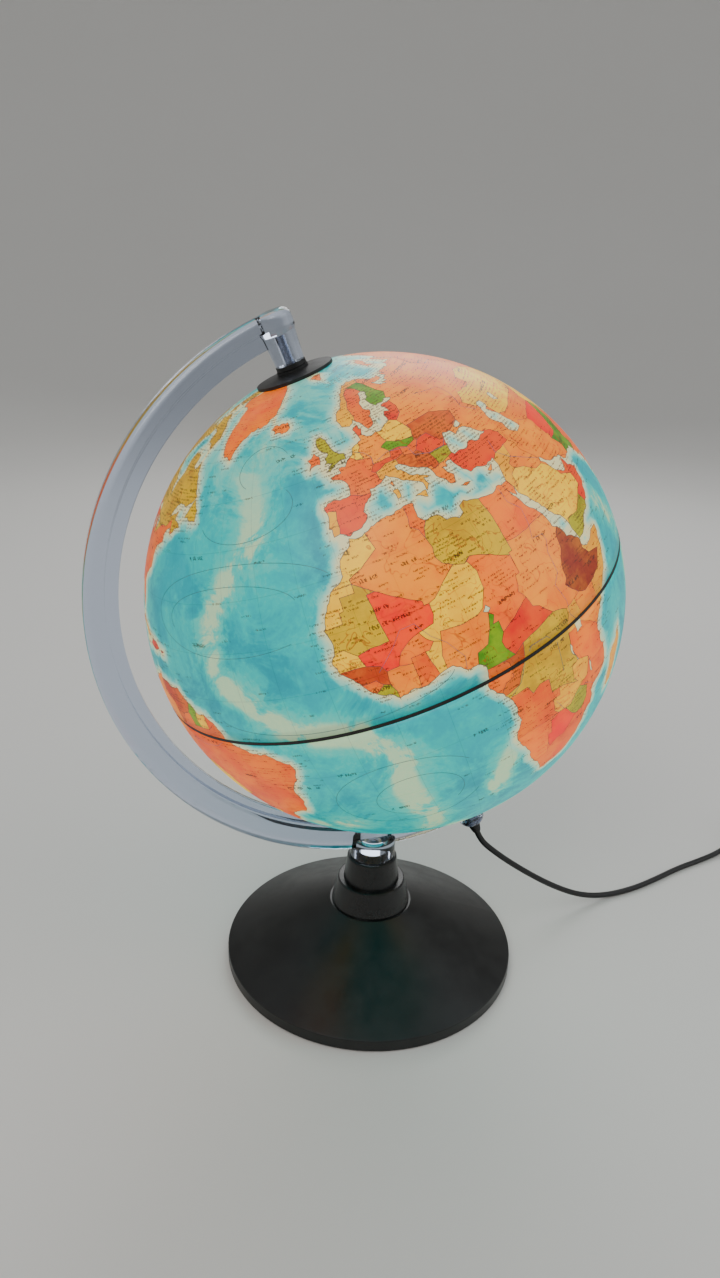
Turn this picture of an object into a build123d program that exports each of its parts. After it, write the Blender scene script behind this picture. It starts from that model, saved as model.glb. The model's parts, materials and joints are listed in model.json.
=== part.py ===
"""Illuminated desk globe on a round foot, held by a clear half-meridian.

Millimetres, +Z up. The origin is the centre of the underside of the foot, on the table.
The meridian lies in the XZ plane, and the north pole leans toward -X.
Heights named *_A are measured along the spin axis from the ball's centre, north positive.
"""

import os
from math import cos, degrees, pi, radians, sin, tan

from build123d import *

# ---------------------------------------------------------------- driving dimensions
BALL_R = 150.0
BALL_WALL = 2.2
BALL_CENTRE_Z = 274.35
TILT = 23.5

ARM_OUTER_R = 185.7
NORTH_BOSS_LOW_R = 8.6
NORTH_BOSS_TOP_R = 9.9
NORTH_HEAD_R = 10.8
NORTH_HEAD_ROUND = 5.0
NORTH_RING_R = 8.9
NORTH_HUB_R = 9.4
ARM_BEAD_WIDTH = 14.0
ARM_BEAD_INNER_R = 173.0
ARM_BEAD_LIFT = 3.7
ARM_WEB_INNER_R = 165.0
ARM_WEB_LIFT = 3.0
ARM_WEB_THICKNESS = 4.4

FOOT_R = 103.8
FOOT_RIM_Z = 9.15
FOOT_WALL = 2.6
FOOT_TOP_Z = 43.5
FOOT_TOP_R = 29.5
PAD_THICKNESS = 1.2
PAD_R = 99.0
COVER_THICKNESS = 2.0
COVER_SCREW_RING_R = 92.0

BALLAST_R = 78.0
BALLAST_Z = 10.3
BALLAST_THICKNESS = 6.0

COLLAR_TOP_Z = 61.9
SOCKET_TOP_Z = 80.6
SOCKET_FLOOR_Z = 68.4
ARM_FOOT_R = 16.1
ARM_FOOT_TOP_Z = 98.0
ARM_PEG_R = 12.0

BOLT_R = 4.0
BOLT_HEAD_HEIGHT = 5.3
BOLT_HEAD_ACROSS = 13.0
BOLT_TIP_Z = 82.0
WASHER_THICKNESS = 1.6

PIN_R = 2.5
LAMP_TUBE_R = 5.0
LAMP_TUBE_BORE_R = 3.5
RUNNING_GAP = 0.06
SEAT_GAP = 0.04

CORD_D = 4.4
CORD_R = CORD_D / 2
FLOOR_GAP = 0.1

# ---------------------------------------------------------------- frames
tilt = radians(TILT)
BALL_CENTRE = Vector(0, 0, BALL_CENTRE_Z)
NORTH = Vector(-sin(tilt), 0, cos(tilt))
ACROSS = Vector(cos(tilt), 0, sin(tilt))
SPIN = Plane(origin=BALL_CENTRE, x_dir=ACROSS, z_dir=NORTH)
SPIN_AXIS = Axis(BALL_CENTRE, NORTH)
SPIN_PROFILE = Plane(origin=BALL_CENTRE, x_dir=ACROSS, z_dir=(0, -1, 0))
ARM_PLANE = Plane(origin=BALL_CENTRE, x_dir=(1, 0, 0), z_dir=(0, -1, 0))
ARM_START = Plane(origin=BALL_CENTRE, x_dir=NORTH, z_dir=-ACROSS)
FROM_BELOW = (Align.CENTER, Align.CENTER, Align.MIN)
FROM_ABOVE = (Align.CENTER, Align.CENTER, Align.MAX)

# Along the lead: the hand switch, the coil and the plug beyond the right of the globe.
LEAD_HEADING = radians(18.0)
LEAD_DIR = Vector(cos(LEAD_HEADING), sin(LEAD_HEADING), 0)
LEAD_SIDE = Vector(sin(LEAD_HEADING), -cos(LEAD_HEADING), 0)
SWITCH_CENTRE = Vector(412.0, 54.0, 0)
SWITCH = Plane(origin=SWITCH_CENTRE, x_dir=LEAD_DIR, z_dir=(0, 0, 1))
SWITCH_LENGTH = 60.0
SWITCH_WIDTH = 24.0
SWITCH_SPLIT_Z = 8.5
SWITCH_HEIGHT = 17.0
SWITCH_CORD_INSET = 4.0
ROCKER_R = 10.0
ROCKER_WIDTH = 10.4
ROCKER_PIVOT_Z = 11.6
ROCKER_TILT = 7.0
TRUNNION_R = 1.2
TRUNNION_SPAN = 15.6

COIL_LAYERS = 4
COIL_OUTER_TURN_R = 28.0
COIL_INNER_TURN_R = 22.2
COIL_LIFT = 0.7
COIL_START = SWITCH_CENTRE + LEAD_DIR * 78.0
COIL_CENTRE = COIL_START + LEAD_SIDE * COIL_OUTER_TURN_R
COIL_SLACK_R = 1.0

PLUG_DIR = LEAD_SIDE
PLUG_START = COIL_CENTRE + LEAD_DIR * COIL_OUTER_TURN_R + PLUG_DIR * 55.7
PLUG = Plane(origin=PLUG_START, x_dir=PLUG_DIR, z_dir=(0, 0, 1))
PLUG_LENGTH = 36.0
PLUG_HEIGHT = 13.7
PLUG_SLEEVE = 14.0
PLUG_PIN_R = 2.0
PLUG_PIN_ROOT_R = 1.7
PLUG_PIN_ROOT_LENGTH = 7.9
PLUG_PIN_LENGTH = 19.0
PLUG_PIN_SPACING = 18.6


def keep(part, name):
    """Label a finished piece and write it to its own file."""
    part.label = name
    export_step(part, f"parts/{name}.step")


def outline(plane, points):
    """A closed flat face through straight-line points on a plane."""
    with BuildSketch(plane) as face:
        with BuildLine():
            Polyline(*points, close=True)
        make_face()
    return face.sketch


def ring(inner_r, outer_r, low, high):
    """A plain ring on the spin axis between two heights, made where SPIN stands."""
    return outline(
        SPIN_PROFILE,
        [(inner_r, low), (outer_r, low), (outer_r, high), (inner_r, high)],
    )


# ---------------------------------------------------------------- foot
def make_base_shell():
    """Low cone with an upright rim, a centre post for the bolt and four screw posts."""
    rise = (FOOT_TOP_Z - FOOT_RIM_Z) / (FOOT_R - 0.8 - FOOT_TOP_R)
    drop = FOOT_WALL * (1 + rise**2) ** 0.5
    rim_inner_r = FOOT_R - 2.8
    under_rim_z = FOOT_RIM_Z + (FOOT_R - 0.8 - rim_inner_r) * rise - drop
    under_top_z = FOOT_TOP_Z - FOOT_WALL
    under_top_r = FOOT_TOP_R - (under_top_z + drop - FOOT_TOP_Z) / rise
    post_r = 9.5
    post_foot_z = BALLAST_Z + BALLAST_THICKNESS
    with BuildPart() as base_shell:
        profile = [
            (FOOT_R - 0.6, 0.6),
            (FOOT_R, 1.2),
            (FOOT_R, FOOT_RIM_Z - 0.9),
            (FOOT_R - 0.25, FOOT_RIM_Z - 0.3),
            (FOOT_R - 0.8, FOOT_RIM_Z),
            (FOOT_TOP_R, FOOT_TOP_Z),
            (BOLT_R + 0.5, FOOT_TOP_Z),
            (BOLT_R + 0.5, post_foot_z),
            (post_r, post_foot_z),
            (post_r, under_top_z),
            (under_top_r, under_top_z),
            (rim_inner_r, under_rim_z),
            (rim_inner_r, 0.6),
        ]
        revolve(outline(Plane.XZ, profile), axis=Axis.Z)
        cover_top_z = PAD_THICKNESS + COVER_THICKNESS
        with BuildSketch(Plane.XY.offset(cover_top_z)):
            with PolarLocations(COVER_SCREW_RING_R, 4, start_angle=45):
                Circle(4.0)
        extrude(amount=8.0)
        with BuildSketch(Plane.XY.offset(cover_top_z)):
            with PolarLocations(COVER_SCREW_RING_R, 4, start_angle=45):
                Circle(1.45)
        extrude(amount=6.5, mode=Mode.SUBTRACT)
    keep(base_shell.part, "base_shell")


def make_base_inside():
    """Pad, closing plate, its screws and the steel ballast disc."""
    with BuildPart() as base_pad:
        Cylinder(PAD_R, PAD_THICKNESS, align=FROM_BELOW)
        fillet(base_pad.edges().filter_by(GeomType.CIRCLE).sort_by(Axis.Z)[0], 0.4)
    keep(base_pad.part, "base_pad")

    with BuildPart() as base_bottom_plate:
        with Locations((0, 0, PAD_THICKNESS)):
            Cylinder(FOOT_R - 3.0, COVER_THICKNESS, align=FROM_BELOW)
        with Locations((0, 0, PAD_THICKNESS)):
            Cylinder(13.0, COVER_THICKNESS, align=FROM_BELOW, mode=Mode.SUBTRACT)
        with BuildSketch(Plane.XY.offset(PAD_THICKNESS)):
            with PolarLocations(COVER_SCREW_RING_R, 4, start_angle=45):
                Circle(1.9)
        extrude(amount=COVER_THICKNESS, mode=Mode.SUBTRACT)
        with BuildSketch(Plane.XY.offset(PAD_THICKNESS)):
            with PolarLocations(COVER_SCREW_RING_R, 4, start_angle=45):
                Circle(3.2)
        extrude(amount=1.2, mode=Mode.SUBTRACT)
    keep(base_bottom_plate.part, "base_bottom_plate")

    with BuildPart() as base_cover_screws:
        with BuildSketch(Plane.XY.offset(PAD_THICKNESS)):
            with PolarLocations(COVER_SCREW_RING_R, 4, start_angle=45):
                Circle(3.1)
        extrude(amount=1.15)
        with BuildSketch(Plane.XY.offset(PAD_THICKNESS)):
            with PolarLocations(COVER_SCREW_RING_R, 4, start_angle=45):
                Circle(1.4)
        extrude(amount=8.0)
    keep(base_cover_screws.part, "base_cover_screws")

    with BuildPart() as base_ballast:
        with Locations((0, 0, BALLAST_Z)):
            Cylinder(BALLAST_R, BALLAST_THICKNESS, align=FROM_BELOW)
            Cylinder(BOLT_R + 0.5, BALLAST_THICKNESS, align=FROM_BELOW, mode=Mode.SUBTRACT)
        chamfer(base_ballast.edges().filter_by(GeomType.CIRCLE).sort_by(Axis.Z)[-2:], 0.4)
    keep(base_ballast.part, "base_ballast")


def make_stem():
    """Wide collar, narrow socket above it, and the bolt that ties the stack together."""
    with BuildPart() as stem_collar:
        profile = [
            (28.0, FOOT_TOP_Z),
            (28.0, FOOT_TOP_Z + 1.2),
            (24.3, COLLAR_TOP_Z - 1.1),
            (23.9, COLLAR_TOP_Z - 0.3),
            (23.2, COLLAR_TOP_Z),
            (BOLT_R + 0.5, COLLAR_TOP_Z),
            (BOLT_R + 0.5, FOOT_TOP_Z),
            (9.0, FOOT_TOP_Z),
            (9.0, COLLAR_TOP_Z - 3.0),
            (21.2, COLLAR_TOP_Z - 3.0),
            (24.8, FOOT_TOP_Z),
        ]
        revolve(outline(Plane.XZ, profile), axis=Axis.Z)
    keep(stem_collar.part, "stem_collar")

    with BuildPart() as stem_socket:
        profile = [
            (19.9, COLLAR_TOP_Z),
            (17.7, SOCKET_TOP_Z - 1.0),
            (17.4, SOCKET_TOP_Z - 0.3),
            (16.8, SOCKET_TOP_Z),
            (ARM_PEG_R + 0.1, SOCKET_TOP_Z),
            (ARM_PEG_R + 0.1, SOCKET_FLOOR_Z),
            (BOLT_R + 0.5, SOCKET_FLOOR_Z),
            (BOLT_R + 0.5, COLLAR_TOP_Z),
        ]
        revolve(outline(Plane.XZ, profile), axis=Axis.Z)
    keep(stem_socket.part, "stem_socket")

    with BuildPart() as stem_bolt:
        head_z = BALLAST_Z - WASHER_THICKNESS - BOLT_HEAD_HEIGHT
        with BuildSketch(Plane.XY.offset(head_z)):
            RegularPolygon(BOLT_HEAD_ACROSS / 2, 6, major_radius=False)
        extrude(amount=BOLT_HEAD_HEIGHT)
        with Locations((0, 0, head_z)):
            Cylinder(BOLT_R, BOLT_TIP_Z - head_z, align=FROM_BELOW)
        chamfer(stem_bolt.edges().filter_by(GeomType.CIRCLE).sort_by(Axis.Z)[-1], 0.8)
    keep(stem_bolt.part, "stem_bolt")

    with BuildPart() as stem_bolt_washer:
        with Locations((0, 0, BALLAST_Z - WASHER_THICKNESS)):
            Cylinder(12.0, WASHER_THICKNESS, align=FROM_BELOW)
            Cylinder(BOLT_R + 0.3, WASHER_THICKNESS, align=FROM_BELOW, mode=Mode.SUBTRACT)
    keep(stem_bolt_washer.part, "stem_bolt_washer")

    with BuildPart() as arm_foot_insert:
        with Locations((0, 0, SOCKET_FLOOR_Z + 0.4)):
            Cylinder(6.0, 15.0, align=FROM_BELOW)
            Cylinder(BOLT_R + SEAT_GAP, 15.0, align=FROM_BELOW, mode=Mode.SUBTRACT)
    keep(arm_foot_insert.part, "arm_foot_insert")


# ---------------------------------------------------------------- clear arm
NORTH_BOSS_A = (156.0, 173.0)
SOUTH_BOSS_A = (-154.6, -187.0, -194.0)


def make_meridian_arm():
    """Half-ring with a thin web, a thick outer bead, two pole bosses and a foot.

    The inner faces of bead and web are circles with raised centres, so that the arm is
    deeper near its foot than near the north pole.
    """
    side_cut_depth = 2 * ARM_OUTER_R
    with BuildPart() as meridian_arm:
        with BuildSketch(ARM_START) as bead:
            with Locations((ARM_OUTER_R - 10.0, 0)):
                Rectangle(20.0, ARM_BEAD_WIDTH)
            fillet(bead.vertices().group_by(Axis.X)[-1], 5.0)
        revolve(axis=Axis(BALL_CENTRE, (0, -1, 0)), revolution_arc=180)
        with BuildSketch(ARM_PLANE):
            with Locations((0, ARM_BEAD_LIFT)):
                Circle(ARM_BEAD_INNER_R)
        extrude(amount=ARM_BEAD_WIDTH, both=True, mode=Mode.SUBTRACT)
        with BuildSketch(ARM_PLANE):
            Circle(ARM_OUTER_R - 6.0)
            with Locations((0, ARM_WEB_LIFT)):
                Circle(ARM_WEB_INNER_R, mode=Mode.SUBTRACT)
            Rectangle(
                side_cut_depth,
                2 * side_cut_depth,
                rotation=TILT,
                align=(Align.MIN, Align.CENTER),
                mode=Mode.SUBTRACT,
            )
        extrude(amount=ARM_WEB_THICKNESS / 2, both=True)

        low_a, shoulder_a = NORTH_BOSS_A
        round_a = ARM_OUTER_R - NORTH_HEAD_ROUND
        round_r = NORTH_HEAD_R - NORTH_HEAD_ROUND
        slant = NORTH_HEAD_ROUND * sin(pi / 4)
        with BuildSketch(SPIN_PROFILE):
            with BuildLine():
                Polyline(
                    (round_r, ARM_OUTER_R),
                    (0, ARM_OUTER_R),
                    (0, low_a),
                    (NORTH_BOSS_LOW_R, low_a),
                    (NORTH_BOSS_TOP_R, shoulder_a),
                    (NORTH_HEAD_R, shoulder_a + 2.0),
                    (NORTH_HEAD_R, round_a),
                )
                ThreePointArc((NORTH_HEAD_R, round_a), (round_r + slant, round_a + slant), (round_r, ARM_OUTER_R))
            make_face()
        revolve(axis=SPIN_AXIS)
        low_a, shoulder_a, tip_a = SOUTH_BOSS_A
        with BuildSketch(SPIN_PROFILE):
            with BuildLine():
                Polyline((8.0, tip_a), (0, tip_a), (0, low_a), (8.8, low_a), (9.8, shoulder_a))
                ThreePointArc((9.8, shoulder_a), (9.5, tip_a + 3.0), (8.0, tip_a))
            make_face()
        revolve(axis=SPIN_AXIS)

        with BuildSketch(Plane.XY.offset(SOCKET_TOP_Z)):
            Circle(ARM_FOOT_R)
        extrude(amount=ARM_FOOT_TOP_Z - SOCKET_TOP_Z)
        circles = meridian_arm.edges().filter_by(GeomType.CIRCLE)
        foot_rims = circles.filter_by(lambda e: abs(e.radius - ARM_FOOT_R) < 0.01)
        fillet(foot_rims.sort_by(Axis.Z)[-2:], 3.0)
        with BuildSketch(Plane.XY.offset(SOCKET_FLOOR_Z + 0.2)):
            Circle(ARM_PEG_R)
        extrude(amount=SOCKET_TOP_Z - SOCKET_FLOOR_Z)

        with BuildSketch(Plane.XY.offset(SOCKET_FLOOR_Z)):
            Circle(6.0 + SEAT_GAP)
        extrude(amount=16.0, mode=Mode.SUBTRACT)
        revolve(ring(0, PIN_R + SEAT_GAP, 150.0, 172.1), axis=SPIN_AXIS, mode=Mode.SUBTRACT)
        revolve(ring(0, LAMP_TUBE_R + SEAT_GAP, -200.0, -150.0), axis=SPIN_AXIS, mode=Mode.SUBTRACT)
        revolve(ring(0, 7.3, -200.0, -190.0), axis=SPIN_AXIS, mode=Mode.SUBTRACT)
    keep(meridian_arm.part, "meridian_arm")


# ---------------------------------------------------------------- ball
NORTH_HOLE_R = 5.6
SEAM_HALF_WIDTH = 1.0
SOUTH_HOLE_R = 8.2


def make_globe_half(name, sign, hole_r):
    """Half of the hollow ball, with a pole hole and a rebate for the seam band."""
    with BuildPart(SPIN) as half:
        if sign > 0:
            Sphere(BALL_R, arc_size1=0, align=FROM_BELOW)
        else:
            Sphere(BALL_R, arc_size2=0, align=FROM_ABOVE)
        Sphere(BALL_R - BALL_WALL, mode=Mode.SUBTRACT)
        with Locations((0, 0, sign * BALL_R)):
            Cylinder(hole_r, 20.0, mode=Mode.SUBTRACT)
        rebate = SEAM_HALF_WIDTH + 0.05
        revolve(ring(BALL_R - 0.5, BALL_R + 2, -rebate, rebate), axis=SPIN_AXIS, mode=Mode.SUBTRACT)
    keep(half.part, name)


def make_globe_fittings():
    """Seam band, inner joint ring, pole disc and the two pole bushes, all on the ball."""
    with BuildPart() as equator_seam_band:
        revolve(ring(BALL_R - 0.45, BALL_R + 0.1, -SEAM_HALF_WIDTH, SEAM_HALF_WIDTH), axis=SPIN_AXIS)
    keep(equator_seam_band.part, "equator_seam_band")

    with BuildPart(SPIN) as equator_joint_ring:
        Cylinder(BALL_R, 12.0)
        Sphere(BALL_R - BALL_WALL - 0.1, mode=Mode.INTERSECT)
        Cylinder(BALL_R - BALL_WALL - 2.2, 14.0, mode=Mode.SUBTRACT)
    keep(equator_joint_ring.part, "equator_joint_ring")

    with BuildPart(SPIN) as north_pole_dial:
        with Locations((0, 0, 140.0)):
            Cylinder(23.0, 20.0, align=FROM_BELOW)
        Sphere(BALL_R + 1.8, mode=Mode.INTERSECT)
        with Locations((0, 0, 145.0)):
            Cylinder(NORTH_HUB_R, 8.2, align=FROM_BELOW)
        Sphere(BALL_R + 0.1, mode=Mode.SUBTRACT)
        Cylinder(NORTH_HOLE_R, 400.0, mode=Mode.SUBTRACT)
    keep(north_pole_dial.part, "north_pole_dial")

    with BuildPart() as north_pivot_bush:
        bore_r = PIN_R + RUNNING_GAP
        sleeve_r = NORTH_HOLE_R - 0.1
        profile = [
            (0, 140.0),
            (sleeve_r, 140.0),
            (sleeve_r, 144.6),
            (9.5, 144.6),
            (9.5, 147.0),
            (sleeve_r, 147.0),
            (sleeve_r, 153.2),
            (bore_r, 153.2),
            (bore_r, 142.0),
            (0, 142.0),
        ]
        revolve(outline(SPIN_PROFILE, profile), axis=SPIN_AXIS)
    keep(north_pivot_bush.part, "north_pivot_bush")

    with BuildPart(SPIN) as south_bearing_bush:
        with Locations((0, 0, -140.0)):
            Cylinder(14.0, 20.0, align=FROM_ABOVE)
        Sphere(BALL_R + 1.8, mode=Mode.INTERSECT)
        Sphere(BALL_R + 0.1, mode=Mode.SUBTRACT)
        with Locations((0, 0, -151.8)):
            Cylinder(SOUTH_HOLE_R - 0.1, 12.0, align=FROM_BELOW)
        Cylinder(LAMP_TUBE_R + RUNNING_GAP, 400.0, mode=Mode.SUBTRACT)
    keep(south_bearing_bush.part, "south_bearing_bush")


def make_pole_hardware():
    """Fixed pieces on the spin axis: spacer rings, north pin, lamp tube and its nut."""
    with BuildPart() as north_spacer_ring:
        revolve(ring(PIN_R + SEAT_GAP, NORTH_RING_R, 153.5, 156.0), axis=SPIN_AXIS)
    keep(north_spacer_ring.part, "north_spacer_ring")

    with BuildPart() as north_pivot_pin:
        revolve(ring(0, PIN_R, 142.4, 172.0), axis=SPIN_AXIS)
    keep(north_pivot_pin.part, "north_pivot_pin")

    with BuildPart() as south_spacer_ring:
        revolve(ring(LAMP_TUBE_R + SEAT_GAP, 9.2, -154.6, -152.15), axis=SPIN_AXIS)
    keep(south_spacer_ring.part, "south_spacer_ring")

    with BuildPart() as lamp_tube:
        revolve(ring(LAMP_TUBE_BORE_R, LAMP_TUBE_R, -195.0, -98.0), axis=SPIN_AXIS)
    keep(lamp_tube.part, "lamp_tube")

    with BuildPart() as lamp_tube_nut:
        revolve(ring(LAMP_TUBE_R + SEAT_GAP, 7.1, -193.6, -190.0), axis=SPIN_AXIS)
    keep(lamp_tube_nut.part, "lamp_tube_nut")

    with BuildPart() as cord_strain_relief:
        profile = [
            (CORD_R + SEAT_GAP, -184.0),
            (LAMP_TUBE_BORE_R - SEAT_GAP, -184.0),
            (LAMP_TUBE_BORE_R - SEAT_GAP, -195.0),
            (4.8, -195.0),
            (4.6, -197.5),
            (3.1, -205.0),
            (CORD_R + SEAT_GAP, -205.0),
        ]
        revolve(outline(SPIN_PROFILE, profile), axis=SPIN_AXIS)
    keep(cord_strain_relief.part, "cord_strain_relief")

    with BuildPart() as lamp_inner_lead:
        revolve(ring(0, CORD_R, -204.5, -97.0), axis=SPIN_AXIS)
    keep(lamp_inner_lead.part, "lamp_inner_lead")


# ---------------------------------------------------------------- lamp inside the ball
def make_lamp():
    """Small screw lampholder on the tube, and the lamp in it."""
    with BuildPart() as lampholder_body:
        profile = [
            (LAMP_TUBE_R + SEAT_GAP, -106.0),
            (10.0, -106.0),
            (13.5, -100.0),
            (14.0, -66.0),
            (12.2, -64.0),
            (9.4, -64.0),
            (9.4, -96.0),
            (LAMP_TUBE_R + SEAT_GAP, -96.0),
        ]
        revolve(outline(SPIN_PROFILE, profile), axis=SPIN_AXIS)
    keep(lampholder_body.part, "lampholder_body")

    with BuildPart() as lampholder_shell:
        profile = [(8.2, -95.0), (9.2, -95.0), (9.2, -67.0), (8.2, -67.0)]
        revolve(outline(SPIN_PROFILE, profile), axis=SPIN_AXIS)
    keep(lampholder_shell.part, "lampholder_shell")

    with BuildPart() as lampholder_contact:
        profile = [(0, -95.6), (4.0, -95.6), (4.0, -94.6), (1.6, -92.3), (0, -92.3)]
        revolve(outline(SPIN_PROFILE, profile), axis=SPIN_AXIS)
    keep(lampholder_contact.part, "lampholder_contact")

    with BuildPart() as bulb_cap:
        turns = 5
        pitch = 2.82
        crest_r, root_r = 6.9, 6.2
        profile = [(0, -92.2), (2.4, -92.2), (2.6, -90.8), (root_r, -87.2)]
        for turn in range(turns):
            z = -87.2 + turn * pitch
            profile += [(crest_r, z + pitch * 0.35), (crest_r, z + pitch * 0.65), (root_r, z + pitch)]
        profile += [(7.4, -72.4), (7.4, -66.0), (0, -66.0)]
        revolve(outline(SPIN_PROFILE, profile), axis=SPIN_AXIS)
    keep(bulb_cap.part, "bulb_cap")

    with BuildPart() as bulb_glass:
        centre_a = -32.0
        outer_r, inner_r = 22.5, 21.7
        half = 0.5**0.5
        lift = radians(22.5)
        with BuildSketch(SPIN_PROFILE):
            with BuildLine():
                neck = Line((7.2, -65.9), (outer_r * half, centre_a - outer_r * half))
                bulge = (outer_r * cos(lift), centre_a + outer_r * sin(lift))
                ThreePointArc(neck @ 1, bulge, (0, centre_a + outer_r))
                Line((0, centre_a + outer_r), (0, centre_a + inner_r))
                inner = Line((6.4, -65.9), (inner_r * half, centre_a - inner_r * half))
                bulge = (inner_r * cos(lift), centre_a + inner_r * sin(lift))
                ThreePointArc(inner @ 1, bulge, (0, centre_a + inner_r))
                Line((7.2, -65.9), (6.4, -65.9))
            make_face()
        revolve(axis=SPIN_AXIS)
    keep(bulb_glass.part, "bulb_glass")


# ---------------------------------------------------------------- mains lead
def corner_radii(points):
    """Each corner's arc: 0.45 of the shorter run beside it over the tangent of half the turn."""
    radii = []
    for before, here, after in zip(points, points[1:], points[2:]):
        run_in = here - before
        run_out = after - here
        half_turn = radians(run_in.get_angle(run_out)) / 2
        radii.append(0.45 * min(run_in.length, run_out.length) / tan(half_turn))
    return radii


def make_tube(points, name):
    """A round lead along straight runs joined by tangent arcs; returns its length."""
    points = [Vector(p) for p in points]
    radii = corner_radii(points)
    with BuildPart() as tube:
        with BuildLine() as route:
            FilletPolyline(*points, radius=radii)
        path = route.wire()
        with BuildSketch(Plane(origin=path @ 0, z_dir=path % 0)):
            Circle(CORD_R)
        sweep()
    length = path.length
    ideal = pi * CORD_R**2 * length
    print(name, "radii", [round(r, 1) for r in radii])
    print(name, "length", round(length, 1), "volume / ideal", round(tube.part.volume / ideal, 4))
    keep(tube.part, name)
    return length


def on_lead_line(distance, height):
    """A point on the switch's centre line, this far past the switch's centre."""
    p = SWITCH_CENTRE + LEAD_DIR * distance
    return (p.X, p.Y, height)


def on_plug_line(distance, height):
    """A point on the plug's centre line, this far past the back of its body."""
    p = PLUG_START + PLUG_DIR * distance
    return (p.X, p.Y, height)


def make_lead():
    """Lead from the south pole down to the table, through the switch to coil and plug."""
    exit_point = BALL_CENTRE - NORTH * 205.0
    first_bend = BALL_CENTRE - NORTH * 214.5
    cord_in_switch = SWITCH_LENGTH / 2 - SWITCH_CORD_INSET
    table_z = CORD_R + FLOOR_GAP
    run_to_switch = [
        exit_point,
        first_bend,
        (95.5, 0.0, 67.5),
        (110.5, 0.0, 54.6),
        (132.5, 0.0, 37.8),
        (156.0, 0.4, 22.0),
        (180.0, 1.4, 9.2),
        (205.0, 3.2, 2.6),
        (234.0, 5.6, table_z),
        (261.5, 12.6, table_z),
        (288.5, 20.8, table_z),
        (315.5, 26.0, table_z),
        (340.5, 31.6, 2.9),
        on_lead_line(-51.5, 8.4),
        on_lead_line(-cord_in_switch, SWITCH_SPLIT_Z),
    ]
    first = make_tube(run_to_switch, "mains_cord")

    coil_z = CORD_R + COIL_LIFT
    link = [
        on_lead_line(cord_in_switch, SWITCH_SPLIT_Z),
        on_lead_line(44.0, 8.3),
        on_lead_line(61.5, 4.6),
        on_lead_line(78.0, coil_z),
    ]
    second = make_tube(link, "mains_cord_link")

    coil_top_z = coil_z + (COIL_LAYERS - 1) * CORD_D
    leave = COIL_CENTRE + LEAD_DIR * COIL_OUTER_TURN_R
    plug_z = PLUG_HEIGHT / 2
    tail = [
        (leave.X, leave.Y, coil_top_z),
        on_plug_line(-37.0, 13.0),
        on_plug_line(-19.0, plug_z + 0.05),
        on_plug_line(-1.0, plug_z),
    ]
    third = make_tube(tail, "mains_cord_tail")

    low_r = COIL_INNER_TURN_R - CORD_R - COIL_SLACK_R
    high_r = COIL_OUTER_TURN_R + CORD_R + COIL_SLACK_R
    height = COIL_LAYERS * CORD_D
    coil_profile = Plane(origin=COIL_CENTRE, x_dir=LEAD_DIR, z_dir=LEAD_SIDE)
    with BuildPart() as mains_cord_coil:
        with BuildSketch(coil_profile) as section:
            with Locations(((low_r + high_r) / 2, COIL_LIFT + height / 2)):
                RectangleRounded(high_r - low_r, height, 2.0)
        revolve(axis=Axis(COIL_CENTRE, (0, 0, 1)))
    keep(mains_cord_coil.part, "mains_cord_coil")

    tie_thickness = 0.6
    tie_angle = radians(200.0)
    tie_dir = Vector(cos(tie_angle), sin(tie_angle), 0)
    tie_plane = Plane(origin=COIL_CENTRE, x_dir=tie_dir, z_dir=tie_dir.cross(Vector(0, 0, 1)))
    middle = ((low_r + high_r) / 2, COIL_LIFT + height / 2)
    with BuildPart() as coil_tie:
        with BuildSketch(tie_plane):
            with Locations(middle):
                RectangleRounded(high_r - low_r + 2.3, height + 2 * tie_thickness, 1.2)
                RectangleRounded(high_r - low_r + 0.9, height, 0.8, mode=Mode.SUBTRACT)
        extrude(amount=3.0, both=True)
    keep(coil_tie.part, "coil_tie")

    mean_r = (COIL_INNER_TURN_R + COIL_OUTER_TURN_R) / 2
    turns = 8.25
    total = first + 2 * cord_in_switch + second + turns * 2 * pi * mean_r + third
    print("whole lead, about", round(total), "mm")


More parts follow.
